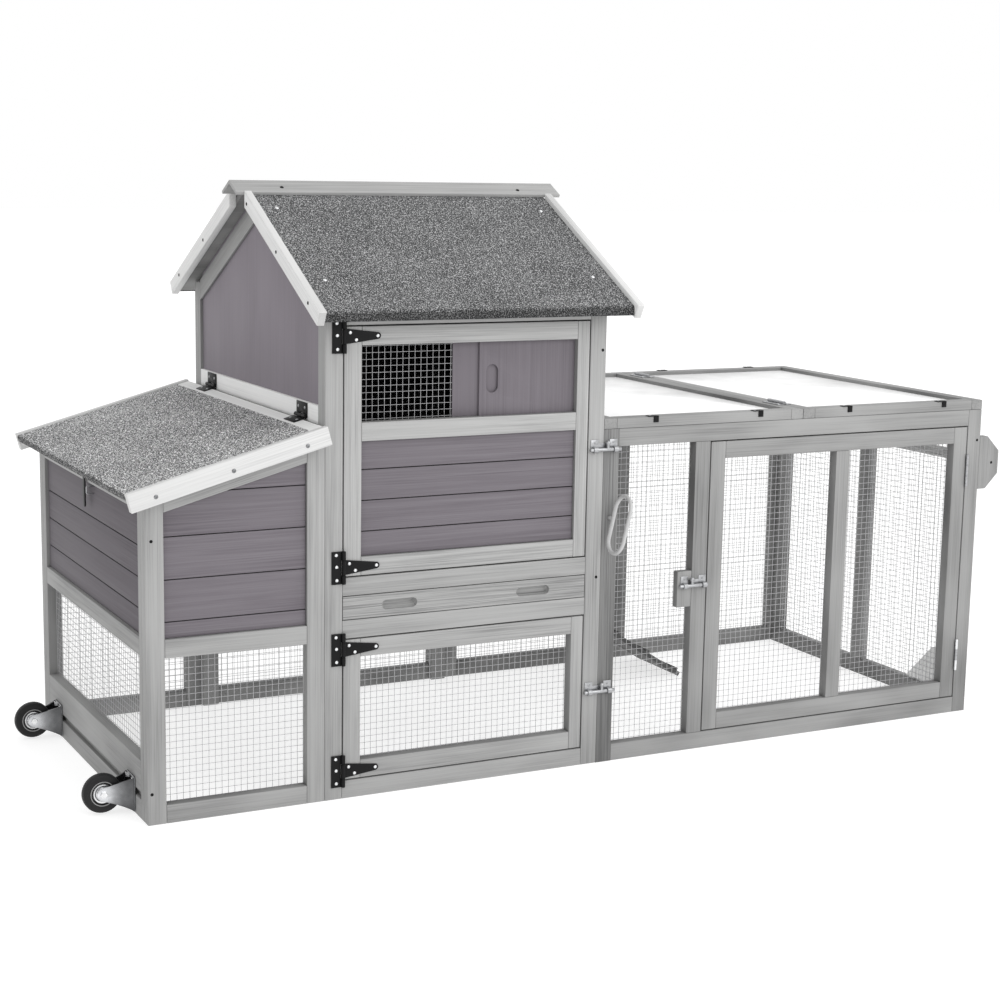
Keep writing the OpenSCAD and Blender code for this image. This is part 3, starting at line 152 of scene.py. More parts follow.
def timber(name, turn, dark, plain, pale, foot=1.0):
    """Washed softwood: long streaks, fine fibres and slow patches, shifted from board to board.

    Faces turned inwards get painted shade and whole boards a dimming, both from an attribute of the faces,
    and the wood darkens towards the ground down to foot, which is painted shade too.
    """
    stain, tree, shader = blank(name)
    where = add(tree, "TexCoord", {}).outputs["Object"]
    lay = add(tree, "Mapping", {"Vector": where, "Rotation": [math.radians(v) for v in turn]})
    which = add(tree, "Attribute", {}, attribute_name="board")
    steps = {0: which.outputs["Vector"], 1: (3.7, 1.9, 2.3), 2: lay.outputs["Vector"]}
    shift = add(tree, "VectorMath", steps, operation="MULTIPLY_ADD").outputs["Vector"]

    def layer(stretch, detail, rough):
        length = add(tree, "Mapping", {"Vector": shift, "Scale": stretch})
        return add(tree, "TexNoise", {"Vector": length.outputs["Vector"], "Scale": 1, "Detail": detail,
                                      "Roughness": rough}).outputs["Fac"]

    def blend(a, b, share):
        return add(tree, "Mix", {"Factor": share, 2: a, 3: b}).outputs[0]

    def product(a, b):
        return add(tree, "Math", {0: a, 1: b}, operation="MULTIPLY").outputs["Value"]

    streak = layer((2.0, 140, 140), 3, 0.55)
    fibre = layer((4.5, 430, 430), 3, 0.7)
    patch = layer((3.5, 11, 11), 2, 0.5)
    grain = blend(blend(streak, fibre, 0.66), patch, 0.12)
    colour = ramp(tree, grain, (0.39, dark), (0.5, plain), (0.61, pale))
    tone = between(tree, which.outputs["Fac"], 0.94, 1.06)
    height = add(tree, "SeparateXYZ", {"Vector": where}).outputs["Z"]
    # Painted shade: darker towards the ground.
    low_shade = between(tree, height, foot, 1.0, 0.0, 0.6)
    # Painted shade on inward faces, and a dimming of whole boards, from an attribute of the faces.
    shade_and_dim = add(tree, "Attribute", {}, attribute_name="shade_and_dim").outputs["Fac"]
    value = product(product(tone, low_shade), between(tree, shade_and_dim, 1.0, 0.0))
    batch = add(tree, "HueSaturation", {"Value": value, "Color": colour}).outputs["Color"]
    rub = add(tree, "Attribute", {}, attribute_name="arris").outputs["Fac"]
    rubbed_and_shaded = (*(min(1, v * 1.05) for v in plain), 1)
    worn = add(tree, "Mix", {0: product(rub, patch), 6: batch, 7: rubbed_and_shaded}, data_type="RGBA").outputs[2]
    plug(tree, shader, {"Base Color": worn, "Roughness": between(tree, fibre, 0.62, 0.88),
                        "Normal": relief(tree, grain, 0.35, 0.0006)})
    return stain


wash = ((0.20, 0.20, 0.20), (0.375, 0.375, 0.372), (0.49, 0.49, 0.486), 0.64)
rise_angle = 15.3
rise = math.radians(rise_angle)
wash_x = timber("grey_wash_lengthwise", along_x, *wash)
wash_y = timber("grey_wash_crosswise", along_y, *wash)
wash_z = timber("grey_wash_upright", along_z, *wash)
wash_rise = timber("grey_wash_nest_slope", (0, rise_angle, 0), *wash)
sides = {"f": (0, -1, 0), "b": (0, 1, 0), "l": (-1, 0, 0), "r": (1, 0, 0), "t": (0, 0, 1)}
sawn = 0
# How much whole boards are dimmed, and the painted shade of faces turned inwards.
section_dim, inside = 0.22, 0.75


def mode(name):
    """Opens the active piece for editing, or closes it."""
    bpy.ops.object.mode_set(mode=name)


def block(lo, hi):
    """A plain block between two corners."""
    a, b = at(*lo), at(*hi)
    bpy.ops.object.select_all(action="DESELECT")
    bpy.ops.mesh.primitive_cube_add(size=1, location=(a + b) / 2)
    cube = bpy.context.object
    cube.scale = b - a
    bpy.ops.object.transform_apply(location=True, rotation=True, scale=True)
    return cube


def ease(width, angle, clamp=False):
    """Takes the sharp edges off the active piece, and leaves the new faces selected."""
    mode("EDIT")
    bpy.ops.mesh.select_mode(type="EDGE")
    bpy.ops.mesh.select_all(action="DESELECT")
    bpy.ops.mesh.edges_select_sharp(sharpness=math.radians(angle))
    bpy.ops.mesh.bevel(offset=width / 1000, segments=2, affect="EDGES", clamp_overlap=clamp)
    mode("OBJECT")


def mark(mesh, name, values):
    """One value for each face of a mesh, for its material."""
    mesh.attributes.new(name, "FLOAT", "FACE").data.foreach_set("value", values)


def board(lo, hi, stain, cuts=(), holes=(), arris=1.2, tilt=None, out=None, rain=0.0, worn=None):
    """A board from corner to corner, cut by planes, bored by round-ended holes, its arrises eased.

    The letters of out name the outer sides: f, b, l, r, t. Outer faces are dimmed by a value for the section,
    or by one given for the board, and upward faces may get painted shade; the other faces get painted shade.
    """
    global sawn
    sawn += 1
    piece = block(lo, hi)
    for low, high, radius in holes:
        cutter = block(low, high)
        if radius:
            for edge in cutter.data.edges:
                p, q = (cutter.data.vertices[i].co for i in edge.vertices)
                edge.select = abs((q - p).y) > 1e-6
            mode("EDIT")
            bpy.ops.mesh.select_mode(type="EDGE")
            bpy.ops.mesh.bevel(offset=radius * 0.999 / 1000, segments=8, affect="EDGES")
            mode("OBJECT")
        bpy.ops.object.select_all(action="DESELECT")
        piece.select_set(True)
        bpy.context.view_layer.objects.active = piece
        bore = piece.modifiers.new("bore", "BOOLEAN")
        bore.object = cutter
        bpy.ops.object.modifier_apply(modifier="bore")
        bpy.data.objects.remove(cutter)
    mode("EDIT")
    for point, normal in cuts:
        bpy.ops.mesh.select_all(action="SELECT")
        bpy.ops.mesh.bisect(plane_co=at(*point), plane_no=normal, use_fill=True, clear_outer=True)
    mode("OBJECT")
    ease(arris, 25, True)
    mesh = piece.data
    shift = [(sawn * step) % 1 for step in (0.618, 0.381, 0.273)]
    shifts = mesh.attributes.new("board", "FLOAT_VECTOR", "FACE").data
    shifts.foreach_set("vector", shift * len(mesh.polygons))
    mark(mesh, "arris", [float(face.select) for face in mesh.polygons])
    weather = [Vector(sides[letter]) for letter in out or ""]
    # Each face's darkening: painted shade on inward faces and, where given, on upward faces; else a dimming.
    shade_and_dim = []
    for face in mesh.polygons:
        sheltered = out is not None and all(face.normal.dot(v) < 0.5 for v in weather)
        outside = max(section_dim if worn is None else worn, rain if face.normal.z > 0.5 else 0)
        shade_and_dim.append(inside if sheltered else outside)
    mark(mesh, "shade_and_dim", shade_and_dim)
    if tilt:
        mesh.transform(tilt)
    mesh.materials.append(stain)
    return piece


def pair(lo, hi, stain, cuts=(), out=None, **more):
    """A board of the front and its twin of the back."""
    back = [((x, depth - y, z), (u, -v, w)) for (x, y, z), (u, v, w) in cuts]
    return [board(lo, hi, stain, cuts, out=out, **more),
            board((lo[0], depth - hi[1], lo[2]), (hi[0], depth - lo[1], hi[2]), stain, back,
                  out=out and out.replace("f", "b"), **more)]


def fix(name, pieces, body, slot, *nodes):
    """Joins boards into one piece, and sets it on its body in place of the solids it stands for."""
    bpy.ops.object.select_all(action="DESELECT")
    for piece in pieces:
        piece.select_set(True)
    bpy.context.view_layer.objects.active = pieces[0]
    if len(pieces) > 1:
        bpy.ops.object.join()
    bpy.ops.object.shade_smooth_by_angle(angle=math.radians(35))
    whole = bpy.context.object
    whole.name = whole.data.name = name
    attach(whole, body)
    if nodes:
        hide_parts(*nodes)
    return whole


up_rise = (-math.sin(rise), 0, math.cos(rise))
over = ((0, 0, 626.6), up_rise)
below = ((0, 0, 580.6), (math.sin(rise), 0, -math.cos(rise)))
nest_left, nest_right = batten + gap, 315.8
nest_frame = pair((0, 0, 0), (batten, thick, 660), wash_z, [over], out="fl")
nest_frame += pair((316, 0, 0), (351.8, thick, 740), wash_z, [over], out="f")
for low in (0, 317):
    nest_frame += pair((nest_left, 0, low), (nest_right, thick, low + batten), wash_x, out="f")
nest_frame += pair((nest_left, 0, 560), (nest_right, thick, 740), wash_rise, [over, below], out="f")
nest_frame += pair((0, thick + gap, 0), (thick, 44, 626.6), wash_z, out="l")
end_front, end_back = 44.2, 720.8
for low, high in ((52, 114), (317, 353), (590.6, 626.6)):
    nest_frame.append(board((0, end_front, low), (thick, end_back, high), wash_y, out="lt"))
fix("nest_frame", nest_frame, "coop", "frame_wood", "nest_front_frame", "nest_back_frame", "nest_end_frame")
rebate = ((-8, 0, 38), (8, depth, 60), 0)
fix("nest_foot_board", [board((0, end_front, 0), (thick, end_back, 51.8), wash_y, holes=[rebate], out="l")],
    "coop", "frame_wood", "caster_board")

# Planks of the nest box
# Thin tongued boards stained mauve grey, let in behind the frame with an open groove between them.
# The top ones of the front and back are cut along the sloping rail.
section_dim = 0.0
stain = ((0.095, 0.082, 0.096), (0.150, 0.135, 0.152), (0.200, 0.186, 0.203))
stain_x = timber("mauve_stain_lengthwise", along_x, *stain)
# The planks of the nest end get a darker copy of the stain: painted shade.
shaded_stain_y = timber("mauve_stain_crosswise_shaded", along_y, *([v * 0.75 for v in shade] for shade in stain))
stain_z = timber("mauve_stain_upright", along_z, *stain)
plank_front, plank_back, groove = 7, 16, 1.6
along_rail = ((0, 0, 580.4), up_rise)
nest_boards = []
for low, high in ((353.2, 383.2), (384.7, 462.5), (464, 542.9), (544.4, 623.2), (624.7, 710.2)):
    nest_boards += pair((nest_left, plank_front, low), (nest_right, plank_back, high), stain_x, [along_rail],
                        arris=groove, out="f")
for low, high in ((353.2, 401.2), (402.7, 460.4), (461.9, 520.1), (521.6, 590.4)):
    nest_boards.append(board((plank_front, end_front, low), (plank_back, end_back, high), shaded_stain_y,
                             arris=groove, out="l"))
fix("nest_planking", nest_boards, "coop", "panel_wood", "nest_planks")

# Floor of the nests
# Thin boards inside the nest box: a floor, a board between the two nests, and a low one
# that keeps the straw in.
inner_front, inner_back, nest_head, floor_top = 24.2, 740.8, 351.8, 353.2
nest_inside = [board((24.2, inner_front, 344), (nest_head, inner_back, 353), wash_y, arris=0.8),
               board((24.2, 378, floor_top), (342.6, 387, 553), wash_x, arris=0.8),
               board((342.8, inner_front, floor_top), (nest_head, inner_back, 413), wash_y, arris=0.8)]
fix("nest_floor", nest_inside, "coop", "frame_wood", "nest_inside")

# Walls of the house
# The same battens, with square posts at the corners; the rails of the front leave room for two doors
# and the tray, and two rails at the sides carry the tray's runners.
section_dim = 0.18
house_left, house_right = 388.2, 921.8
side_front, side_back = 36.2, 728.8
house = pair((352, 0, 0), (388, batten, 959), wash_z, out="fl")
house += pair((922, 0, 0), (957.8, batten, 959), wash_z, out="fr")
for low in (0, 320, 923):
    house += pair((house_left, 0, low), (house_right, thick, low + batten), wash_x, out="f")
house.append(board((house_left, 0, 404), (house_right, thick, 440), wash_x, out="f"))
house.append(board((352, side_front, 320), (376, side_back, 356), wash_y, out=""))
house.append(board((934, side_front, 320), (957.8, side_back, 356), wash_y, out="r"))
fix("house_frame", house, "coop", "frame_wood", "house_front_frame", "house_back_frame")
bearers = [board((low, side_front, 335.8), (high, side_back, 355.8), wash_y, out="")
           for low, high in ((376.2, 404), (906, 933.8))]
fix("tray_bearers", bearers, "coop", "frame_wood", "tray_runners")

# Panels of the house
# Sheets stained mauve fill the gables, seven grooved planks the back. The sheet on the run side
# has the hens' hole sawn out of it.
fall_angle = 27.7
fall = math.radians(fall_angle)
up_front = (0, -math.sin(fall), math.cos(fall))
under_roof = [((0, 0, 959.2), up_front), ((0, depth, 959.2), (0, math.sin(fall), math.cos(fall)))]
# The gable on the nest side gets a paler copy of the stain: painted light.
lit_gable_stain = timber("mauve_stain_gable_lit", along_z, *([v * k for v in stain[1]] for k in (1.5, 1.75, 1.95)))
sheet_stain = timber("mauve_stain_sheet", along_z, *([v * k for v in stain[1]] for k in (0.86, 1.02, 1.14)))
fix("nest_side_gable", [board((358, side_front, 769.2), (367, side_back, 1200), lit_gable_stain, under_roof,
                              arris=0.6, out="l")], "coop", "panel_wood", "house_left_wall")
hens_hole = ((930, 518, 412), (970, 713, 640), 0)
fix("run_side_gable", [board((943, side_front, 356.2), (952, side_back, 1200), sheet_stain, under_roof,
                             [hens_hole], arris=0.6, out="r")], "coop", "panel_wood", "house_right_wall")
planks, foot, slit = 7, 356.2, 1.5
course = (922.8 - foot + slit) / planks
planking = [board((house_left, 749, foot + k * course), (house_right, 758, foot - slit + (k + 1) * course),
                  stain_x, arris=groove, out="b") for k in range(planks)]
planking += [board((388.3, 751.5, 352 + k * course), (921.7, 755.5, 359 + k * course), stain_x,
                   arris=0.5, out="") for k in range(1, planks)]
fix("house_back_planking", planking, "coop", "panel_wood", "house_back_planks")

# Rail for the nest roof's hinges
# A pale planed batten across the gable, level with the top of the nest roof.
section_dim = 0.0
rail_wash = ((0.76, 0.76, 0.76), (0.86, 0.86, 0.855), (0.90, 0.90, 0.895))
rail_y = timber("pale_wash_crosswise", along_y, *rail_wash)
fix("nest_hinge_rail", [board((352, side_front, 733.05), (376, side_back, 769.05), rail_y, out="lt")],
    "coop", "trim_wood", "hinge_rail")

# Rafters and roof boards
# A thin rafter lies on the face of each gable slope, between the posts. The roof is a sheet of board
# on each side that rests on the gables and runs past the walls.
along_front, along_back = (-fall_angle, 0, 90), (fall_angle, 0, 90)
wash_slopes = [timber("grey_wash_front_slope", along_front, *wash),
               timber("grey_wash_back_slope", along_back, *wash)]
lift = 1 / math.cos(fall)


def slope_cuts(top, bottom):
    """Planes above and below a board of the front slope, given by their heights at the front face."""
    return [((0, 0, top), up_front), ((0, 0, bottom), (0, math.sin(fall), -math.cos(fall)))]


def sloped(lo, hi, stains, cuts, **more):
    """A board of the front slope and its twin of the back, each with the grain along its slope."""
    front, back = pair(lo, hi, stains[0], cuts, **more)
    back.data.materials[0] = stains[1]
    return [front, back]


rafters = []
# The rafters are dimmed all over by a value of their own.
for x, out in ((352, "l"), (952.2, "r")):
    rafters += sloped((x, side_front, 850), (x + 5.8, 382.3, 1250), wash_slopes, slope_cuts(945.4, 901.4),
                      arris=0.8, out=out, worn=0.45)
fix("gable_rafters", rafters, "coop", "frame_wood", "rafters")
roof_left, roof_right, roof_foot, deck = 330.2, 991.8, 959.4, 12
decks = pair((roof_left, -45.8, 880), (roof_right, 382.3, 1250), wash_x,
             slope_cuts(roof_foot + deck * lift, roof_foot), out="t")
fix("roof_boards", decks, "coop", "frame_wood", "roof_decks")

# Felt of the house roof
# Mineral roofing felt, grey and gritty, nailed down on each slope and folded over the eave.


def cloud(tree, scale, detail=2):
    """Noise of a scale over a piece."""
    where = add(tree, "TexCoord", {}).outputs["Object"]
    return add(tree, "TexNoise", {"Vector": where, "Scale": scale, "Detail": detail}).outputs["Fac"]


def grit(name, coarse, dark, plain, pale):
    """Crushed slate on bitumen: close dark and light grains over slow stains, darker on the fold and the
    edges.
    """
    felt, tree, shader = blank(name)
    where = add(tree, "TexCoord", {}).outputs["Object"]
    grains = add(tree, "TexVoronoi", {"Vector": where, "Scale": coarse}).outputs["Distance"]
    mix = add(tree, "Mix", {"Factor": 0.3, 2: grains, 3: cloud(tree, coarse * 1.7, 3)}).outputs[0]
    slow = add(tree, "Mix", {"Factor": 0.1, 2: mix, 3: cloud(tree, 7, 4)}).outputs[0]
    colour = ramp(tree, slow, (0.33, dark), (0.5, plain), (0.69, pale))
    bent = add(tree, "Attribute", {}, attribute_name="fold").outputs["Fac"]
    crease = add(tree, "HueSaturation", {"Value": between(tree, bent, 1.0, 0.35), "Color": colour})
    plug(tree, shader, {"Base Color": crease.outputs["Color"], "Roughness": 0.92,
                        "Normal": relief(tree, mix, 0.7, 0.0012)})
    return felt


bitumen = (0.004, 0.0045, 0.005)
slate = grit("mineral_felt", 430, bitumen, (0.056, 0.057, 0.059), (0.46, 0.462, 0.466))


def thicken(sheet, thickness, offset):
    """Gives the active sheet its thickness, behind it, about it or in front of it."""
    wall = sheet.modifiers.new("wall", "SOLIDIFY")
    wall.thickness = thickness
    wall.offset = offset
    bpy.ops.object.modifier_apply(modifier="wall")


def felt_sheet(low, high, fold, felt):
    """Felt on a slope from its eave to its head, with a rounded fold hanging down at the eave."""
    bpy.ops.object.select_all(action="DESELECT")
    bpy.ops.mesh.primitive_plane_add(size=1, location=(0, 0, 0))
    sheet = bpy.context.object
    for vertex in sheet.data.vertices:
        row = low if vertex.co.y < 0 else high
        vertex.co = row[0 if vertex.co.x < 0 else 1]
    eave = low[1] - low[0]

    def pick_eave():
        for edge in sheet.data.edges:
            ends = [sheet.data.vertices[i].co for i in edge.vertices]
            edge.select = all((end - low[0]).cross(eave).length < 1e-6 for end in ends)

    pick_eave()
    for face in sheet.data.polygons:
        face.select = False
    mode("EDIT")
    bpy.ops.mesh.select_mode(type="EDGE")
    bpy.ops.mesh.extrude_region_move(TRANSFORM_OT_translate={"value": fold})
    bpy.ops.mesh.select_all(action="DESELECT")
    mode("OBJECT")
    pick_eave()
    mode("EDIT")
    bpy.ops.mesh.bevel(offset=0.004, segments=3, affect="EDGES")
    bpy.ops.mesh.select_all(action="SELECT")
    bpy.ops.mesh.normals_make_consistent(inside=False)
    bpy.ops.mesh.subdivide(number_cuts=14)
    bpy.ops.transform.vertex_random(offset=0.00022, seed=3)
    mode("OBJECT")
    if sum(face.normal.z * face.area for face in sheet.data.polygons) < 0:
        sheet.data.flip_normals()
    thicken(sheet, 0.003, -1)
    slope = eave.cross(high[0] - low[0]).normalized()
    mark(sheet.data, "fold", [float(abs(face.normal.dot(slope)) < 0.85) for face in sheet.data.polygons])
    sheet.data.materials.append(felt)
    return sheet


def slope_height(y, up):
    """The height above the ground of a point of the roof, up from the underside of its boards."""
    return roof_foot + up + min(y, depth - y) * math.tan(fall)


felt_up = 15 * lift + gap
felts = []
for ends in ((-49, 382.3), (814, 382.7)):
    eave, head = ([at(x, y, slope_height(y, felt_up)) for x in (roof_left, roof_right)] for y in ends)
    felts.append(felt_sheet(eave, head, (0, 0, -felt_up / 1000), slate))
fix("house_felt", felts, "coop", "roof_felt", "roof_felt")

# Bargeboards and ridge cap
# Pale planed trim: a bargeboard along each slope, standing proud of the felt and cut square at the eave,
# and two thin boards over the ridge between the heads of the bargeboards.
trim = ((0.58, 0.58, 0.58), (0.74, 0.74, 0.735), (0.81, 0.81, 0.805))
trim_slopes = [timber("pale_wash_front_slope", along_front, *trim),
               timber("pale_wash_back_slope", along_back, *trim)]
cap_wash = timber("grey_wash_ridge", along_x, (0.20, 0.20, 0.20), (0.35, 0.35, 0.347), (0.47, 0.47, 0.466))
barge_top = roof_foot + felt_up + 9.5 * lift
down_front = (0, -math.cos(fall), -math.sin(fall))
barge_foot = ((0, -63, barge_top - 63 * math.tan(fall)), down_front)
barges = []
# The bargeboards' upward faces are darker and their undersides darker still: painted shade.
for x in (315, 992):
    barges += sloped((x, -70, 850), (x + 15, 338.03, 1250), trim_slopes,
                     slope_cuts(barge_top, barge_top - 30 * lift) + [barge_foot], rain=0.34)
for barge in barges:
    for face in barge.data.polygons:
        if face.normal.z < -0.3 and abs(face.normal.y) > 0.7:
            barge.data.attributes["shade_and_dim"].data[face.index].value = 0.62
fix("roof_bargeboards", barges, "coop", "trim_wood", "bargeboards")
cap, cap_foot = 6.5, 338.23
cap_top = roof_foot + felt_up + gap + cap * lift
cap_edge = ((0, cap_foot, cap_top + cap_foot * math.tan(fall)), down_front)
fix("ridge_boards", pair((299, 320, 1050), (1030, 382.45, 1250), cap_wash,
                         slope_cuts(cap_top, cap_top - cap * lift) + [cap_edge], arris=0.8),
    "coop", "trim_wood", "ridge_cap")

# Roof of the nest box
# A sheet of board between two pale trim boards, felted on top with a fold over the eave and a pale strip
# at the head, where two black hinges hold it to the house wall.
hinge_x, hinge_z = 347.8, 742.053
hinge_line = at(hinge_x, 0, hinge_z)
tilt = Matrix.Translation(hinge_line) @ Matrix.Rotation(-rise, 4, "Y") @ Matrix.Translation(-hinge_line)
trim_rise = timber("pale_wash_nest_slope", (0, rise_angle, 0), *([v * 0.86 for v in shade] for shade in trim))
deck_y = timber("pale_deck_crosswise", along_y, *trim)


def nest_board(lo, hi, stain):
    """A board of the nest roof, given square to its slope from the hinge line."""
    return board((lo[0] + hinge_x, lo[1], lo[2] + hinge_z), (hi[0] + hinge_x, hi[1], hi[2] + hinge_z), stain,
                 tilt=tilt)


lid_front, lid_back, lid_head, lid_eave = -22, 787, -6, -405.17
nest_lid = [nest_board((-401.97, lid_front, -19.2), (lid_head, lid_back, -7.4), deck_y)]
for low, high in ((-38.2, -22.2), (787.2, 803.2)):
    nest_lid.append(nest_board((lid_eave, low, -37.2), (lid_head, high, -1.0), trim_rise))
nest_lid.append(nest_board((-33, lid_front, -7.2), (lid_head, lid_back, -4.2), deck_y))
fix("nest_roof_boards", nest_lid, "nest_roof", "trim_wood", "nest_roof_deck")
corners = [[tilt @ at(hinge_x + x, y, hinge_z - 4.2) for y in (lid_front, lid_back)]
           for x in (lid_eave, -33.2)]
fold = tilt.to_3x3() @ Vector((0, 0, -0.0115))
# The nest roof's felt is a lighter copy of the house felt: painted light.
lit_slate = grit("mineral_felt_nest_lit", 380, bitumen, (0.125, 0.127, 0.13), (1.0, 1.0, 1.0))
fix("nest_felt", [felt_sheet(*corners, fold, lit_slate)], "nest_roof", "roof_felt", "nest_roof_felt")

# Upper door
# A framed door of the same battens with four mauve planks below a window; a board behind the
# window's right half leaves the left half to the wire.
section_dim = 0.0


def door_frame(left, right, foot, head, stile, *rails):
    """The two stiles of a door and the rails between them; the stile on the right may be narrower."""
    made = [board((left, 0, foot), (left + batten, thick, head), wash_z, out="f"),
            board((right - stile, 0, foot), (right, thick, head), wash_z, out="f")]
    for low in rails:
        made.append(board((left + batten + gap, 0, low), (right - stile - gap, thick, low + batten), wash_x,
                          out="f"))
    return made


door_left, door_right, slim = 390.5, 919.5, 27
panel_left, panel_right = 426.7, 892.3
fix("upper_door_battens", door_frame(door_left, door_right, 442.5, 920.5, slim, 442.5, 702, 884.5),
    "upper_door", "frame_wood", "upper_door_frame")
upper_boards = [board((panel_left, plank_front, low), (panel_right, plank_back, high), stain_x,
                      arris=groove, out="f")
                for low, high in ((478.7, 525.8), (527.3, 585.8), (587.3, 645.8), (647.3, 701.8))]
fix("upper_door_boards", upper_boards, "upper_door", "panel_wood", "upper_door_planks")
backing = board((624.7, 18.2, 738.2), (panel_right, thick, 884.3), sheet_stain, arris=0.6, out="f")
fix("window_backing", [backing], "upper_door", "panel_wood", "window_pane")

# Sliding shutter
# A thin mauve board in the grooves of the window's rails, with a round-ended finger hole.
finger_hole = ((695.1, 0, 783.25), (721.1, 30, 839.25), 13)
fix("shutter", [board((680.1, 12.3, 732.5), (892.1, 17.3, 890), sheet_stain, holes=[finger_hole], arris=0.7)],
    "window_slider", "panel_wood", "window_slider")

# Lower door
# A low framed door, filled with wire only.
section_dim = 0.06
fix("lower_door_battens", door_frame(door_left, door_right, 38.5, 317.5, slim, 38.5, 281.5),
    "lower_door", "frame_wood", "lower_door_frame")

# Droppings tray
# A grey front board with two round-ended grips sunk in it, fixed to a folded zinc pan.
section_dim = 0.0
grips = [((x - 37.5, -20, 370.5), (x + 37.5, 13, 389.5), 9.5) for x in (508.5, 801.5)]
fix("tray_board", [board((389.5, 0, 357.5), (920.5, 18, 402.5), wash_x, holes=grips)],
    "tray", "frame_wood", "tray_front")

# Walls of the run
# Battens again: a front with a fixed bay and a doorway, a back with a centre post, and an end wall with
# three uprights and a triangle of board in a corner. The post by the house is bored for the pull rod.
# The run's boards are dimmed more, and their inward faces get deeper painted shade.
section_dim, inside = 0.5, 0.93
end_in, end_out, rail_foot, rail_head, run_head = 1915, 1939, 36.2, 663.8, 700
rod_hole = ((971.4, -20, 513.4), (980.6, 50, 522.6), 4.6)
run = [board((958, 0, 0), (994, thick, run_head), wash_z, holes=[rod_hole], out="f"),
       board((958, 741, 0), (994, depth, run_head), wash_z, out="b")]
run += pair((1903, 0, 0), (end_out, thick, run_head), wash_z, out="fr")
for low in (0, 664):
    run += pair((994.2, 0, low), (1902.8, thick, low + batten), wash_x, out="f")
    run.append(board((end_in, inner_front, low), (end_out, inner_back, low + batten), wash_y, out="r"))
run.append(board((1180, 0, rail_foot), (1216, thick, rail_head), wash_z, out="f"))
run.append(board((1430.5, 741, rail_foot), (1466.5, depth, rail_head), wash_z, out="b"))
for y in (inner_front, 364.5, 704.8):
    run.append(board((end_in, y, rail_foot), (end_out, y + batten, rail_head), wash_z, out="r"))
long_side = ((1921.2, 195.4, rail_foot), (0, 91, 135))
run.append(board((1921.2, 60.4, rail_foot), (1930.2, 195.4, 127.2), rail_y, [long_side], arris=0.6, worn=0.0))
fix("run_frame", run, "coop", "frame_wood", "run_front_frame", "run_back_frame", "run_end_frame")
fix("bolt_pad", [board((1144.8, 0, 313.8), (1179.8, 16, 390.8), wash_z, out="f")],
    "coop", "frame_wood", "bolt_block")

# Run door
# Five battens, butted and screwed together, with a bar down the middle and wire on each side of it.
door = door_frame(1218.5, 1900.5, 38.5, 661.5, batten, 38.5, 625.5)
door.append(board((1541.5, 0, 74.7), (1577.5, thick, 625.3), wash_z, out="f"))
fix("run_door_battens", door, "run_door", "frame_wood", "run_door_frame")

# Run top
# Two light frames with a clear plastic sheet let into each. The right one folds up on the left one.
bar, bar_foot, bar_head = 30, 700.4, 721.4
halves = (("left", "coop", 958.2, 1448), ("right", "run_lid", 1449, 1939))
for name, body, left, right in halves:
    bars = [board((left, 0, bar_foot), (left + bar, depth, bar_head), wash_y, out="tfb"),
            board((right - bar, 0, bar_foot), (right, depth, bar_head), wash_y, out="tfbr")]
    bars += pair((left + bar + gap, 0, bar_foot), (right - bar - gap, bar, bar_head), wash_x, out="tf")
    fix("run_top_frame_" + name, bars, body, "frame_wood", "lid_" + name + "_frame")
clear, tree, shader = blank("clear_sheet")
haze = between(tree, cloud(tree, 9, 4), 0.10, 0.32)
# A faint glow in the sheets is painted light, so that they read white.
plug(tree, shader, {"Base Color": white, "Alpha": 0.85, "Roughness": haze,
                    "Emission Color": white, "Emission Strength": 0.12})
for name, body, left, right in halves:
    sheet = board((left + bar + gap, 30.2, 711.4), (right - bar - gap, 734.8, 713.4), clear, arris=0.4)
    fix("run_top_sheet_" + name, [sheet], body, "clear_sheet", "lid_" + name + "_sheet")

# Handle
# Two half octagons of board on the run's end, with a round bar between them to lift it by.
corners_off = [((1995.2, 0, 552), (34, 0, -17)), ((1995.2, 0, 604), (34, 0, 17))]
fix("handle_cheeks", pair((1939.2, 0, 518), (1995.2, 18, 638), wash_z, corners_off),
    "coop", "frame_wood", "handle_plates")
bpy.ops.object.select_all(action="DESELECT")
bpy.ops.mesh.primitive_cylinder_add(vertices=40, radius=0.013, depth=0.7286, location=at(1975, 382.5, 578),
                                    rotation=(math.pi / 2, 0, 0))
lifting_bar = bpy.context.object
bpy.ops.object.transform_apply(location=True, rotation=True, scale=True)
ease(1.5, 40)
lifting_bar.data.materials.append(wash_y)
fix("lifting_bar", [lifting_bar], "coop", "frame_wood", "handle_bar")

# Pop door
# A thin mauve board that slides in two grooved rails on the run side of the house. The rails and the
# ramp below it are wood coloured very dark: painted shade.
fix("pop_board", [board((960.5, 506, 404.6), (965.5, 725, 647.4), stain_z, arris=0.8, out="r")],
    "pop_door", "panel_wood", "pop_door")
# A very dark wash for the pop door's rails and the ramp: painted shade.
shaded_wood = ((0.055, 0.055, 0.055), (0.09, 0.09, 0.089), (0.14, 0.14, 0.138))


def coat_solids(coat, *nodes):
    """Gives a material to solids that are shown as they are."""
    for node in nodes:
        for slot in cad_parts[node].material_slots:
            slot.material = coat


coat_solids(timber("shaded_wood_guides", along_y, *shaded_wood), "pop_guides")
coat_solids(timber("shaded_wood_ramp", (0, -32.5, 0), *shaded_wood), "ramp")

# Wire
# Welded mesh of thin galvanised wire, half an inch square, stapled behind the frames.
mesh_pitch, mesh_front, mesh_back = 12.7, 18.6, 745.4
wire, tree, shader = blank("galvanised_wire")
spangle = ramp(tree, cloud(tree, 160), (0.0, (0.36, 0.36, 0.365)), (1.0, (0.50, 0.50, 0.51)))
plug(tree, shader, {"Base Color": spangle, "Metallic": 0.3, "Roughness": 0.45})


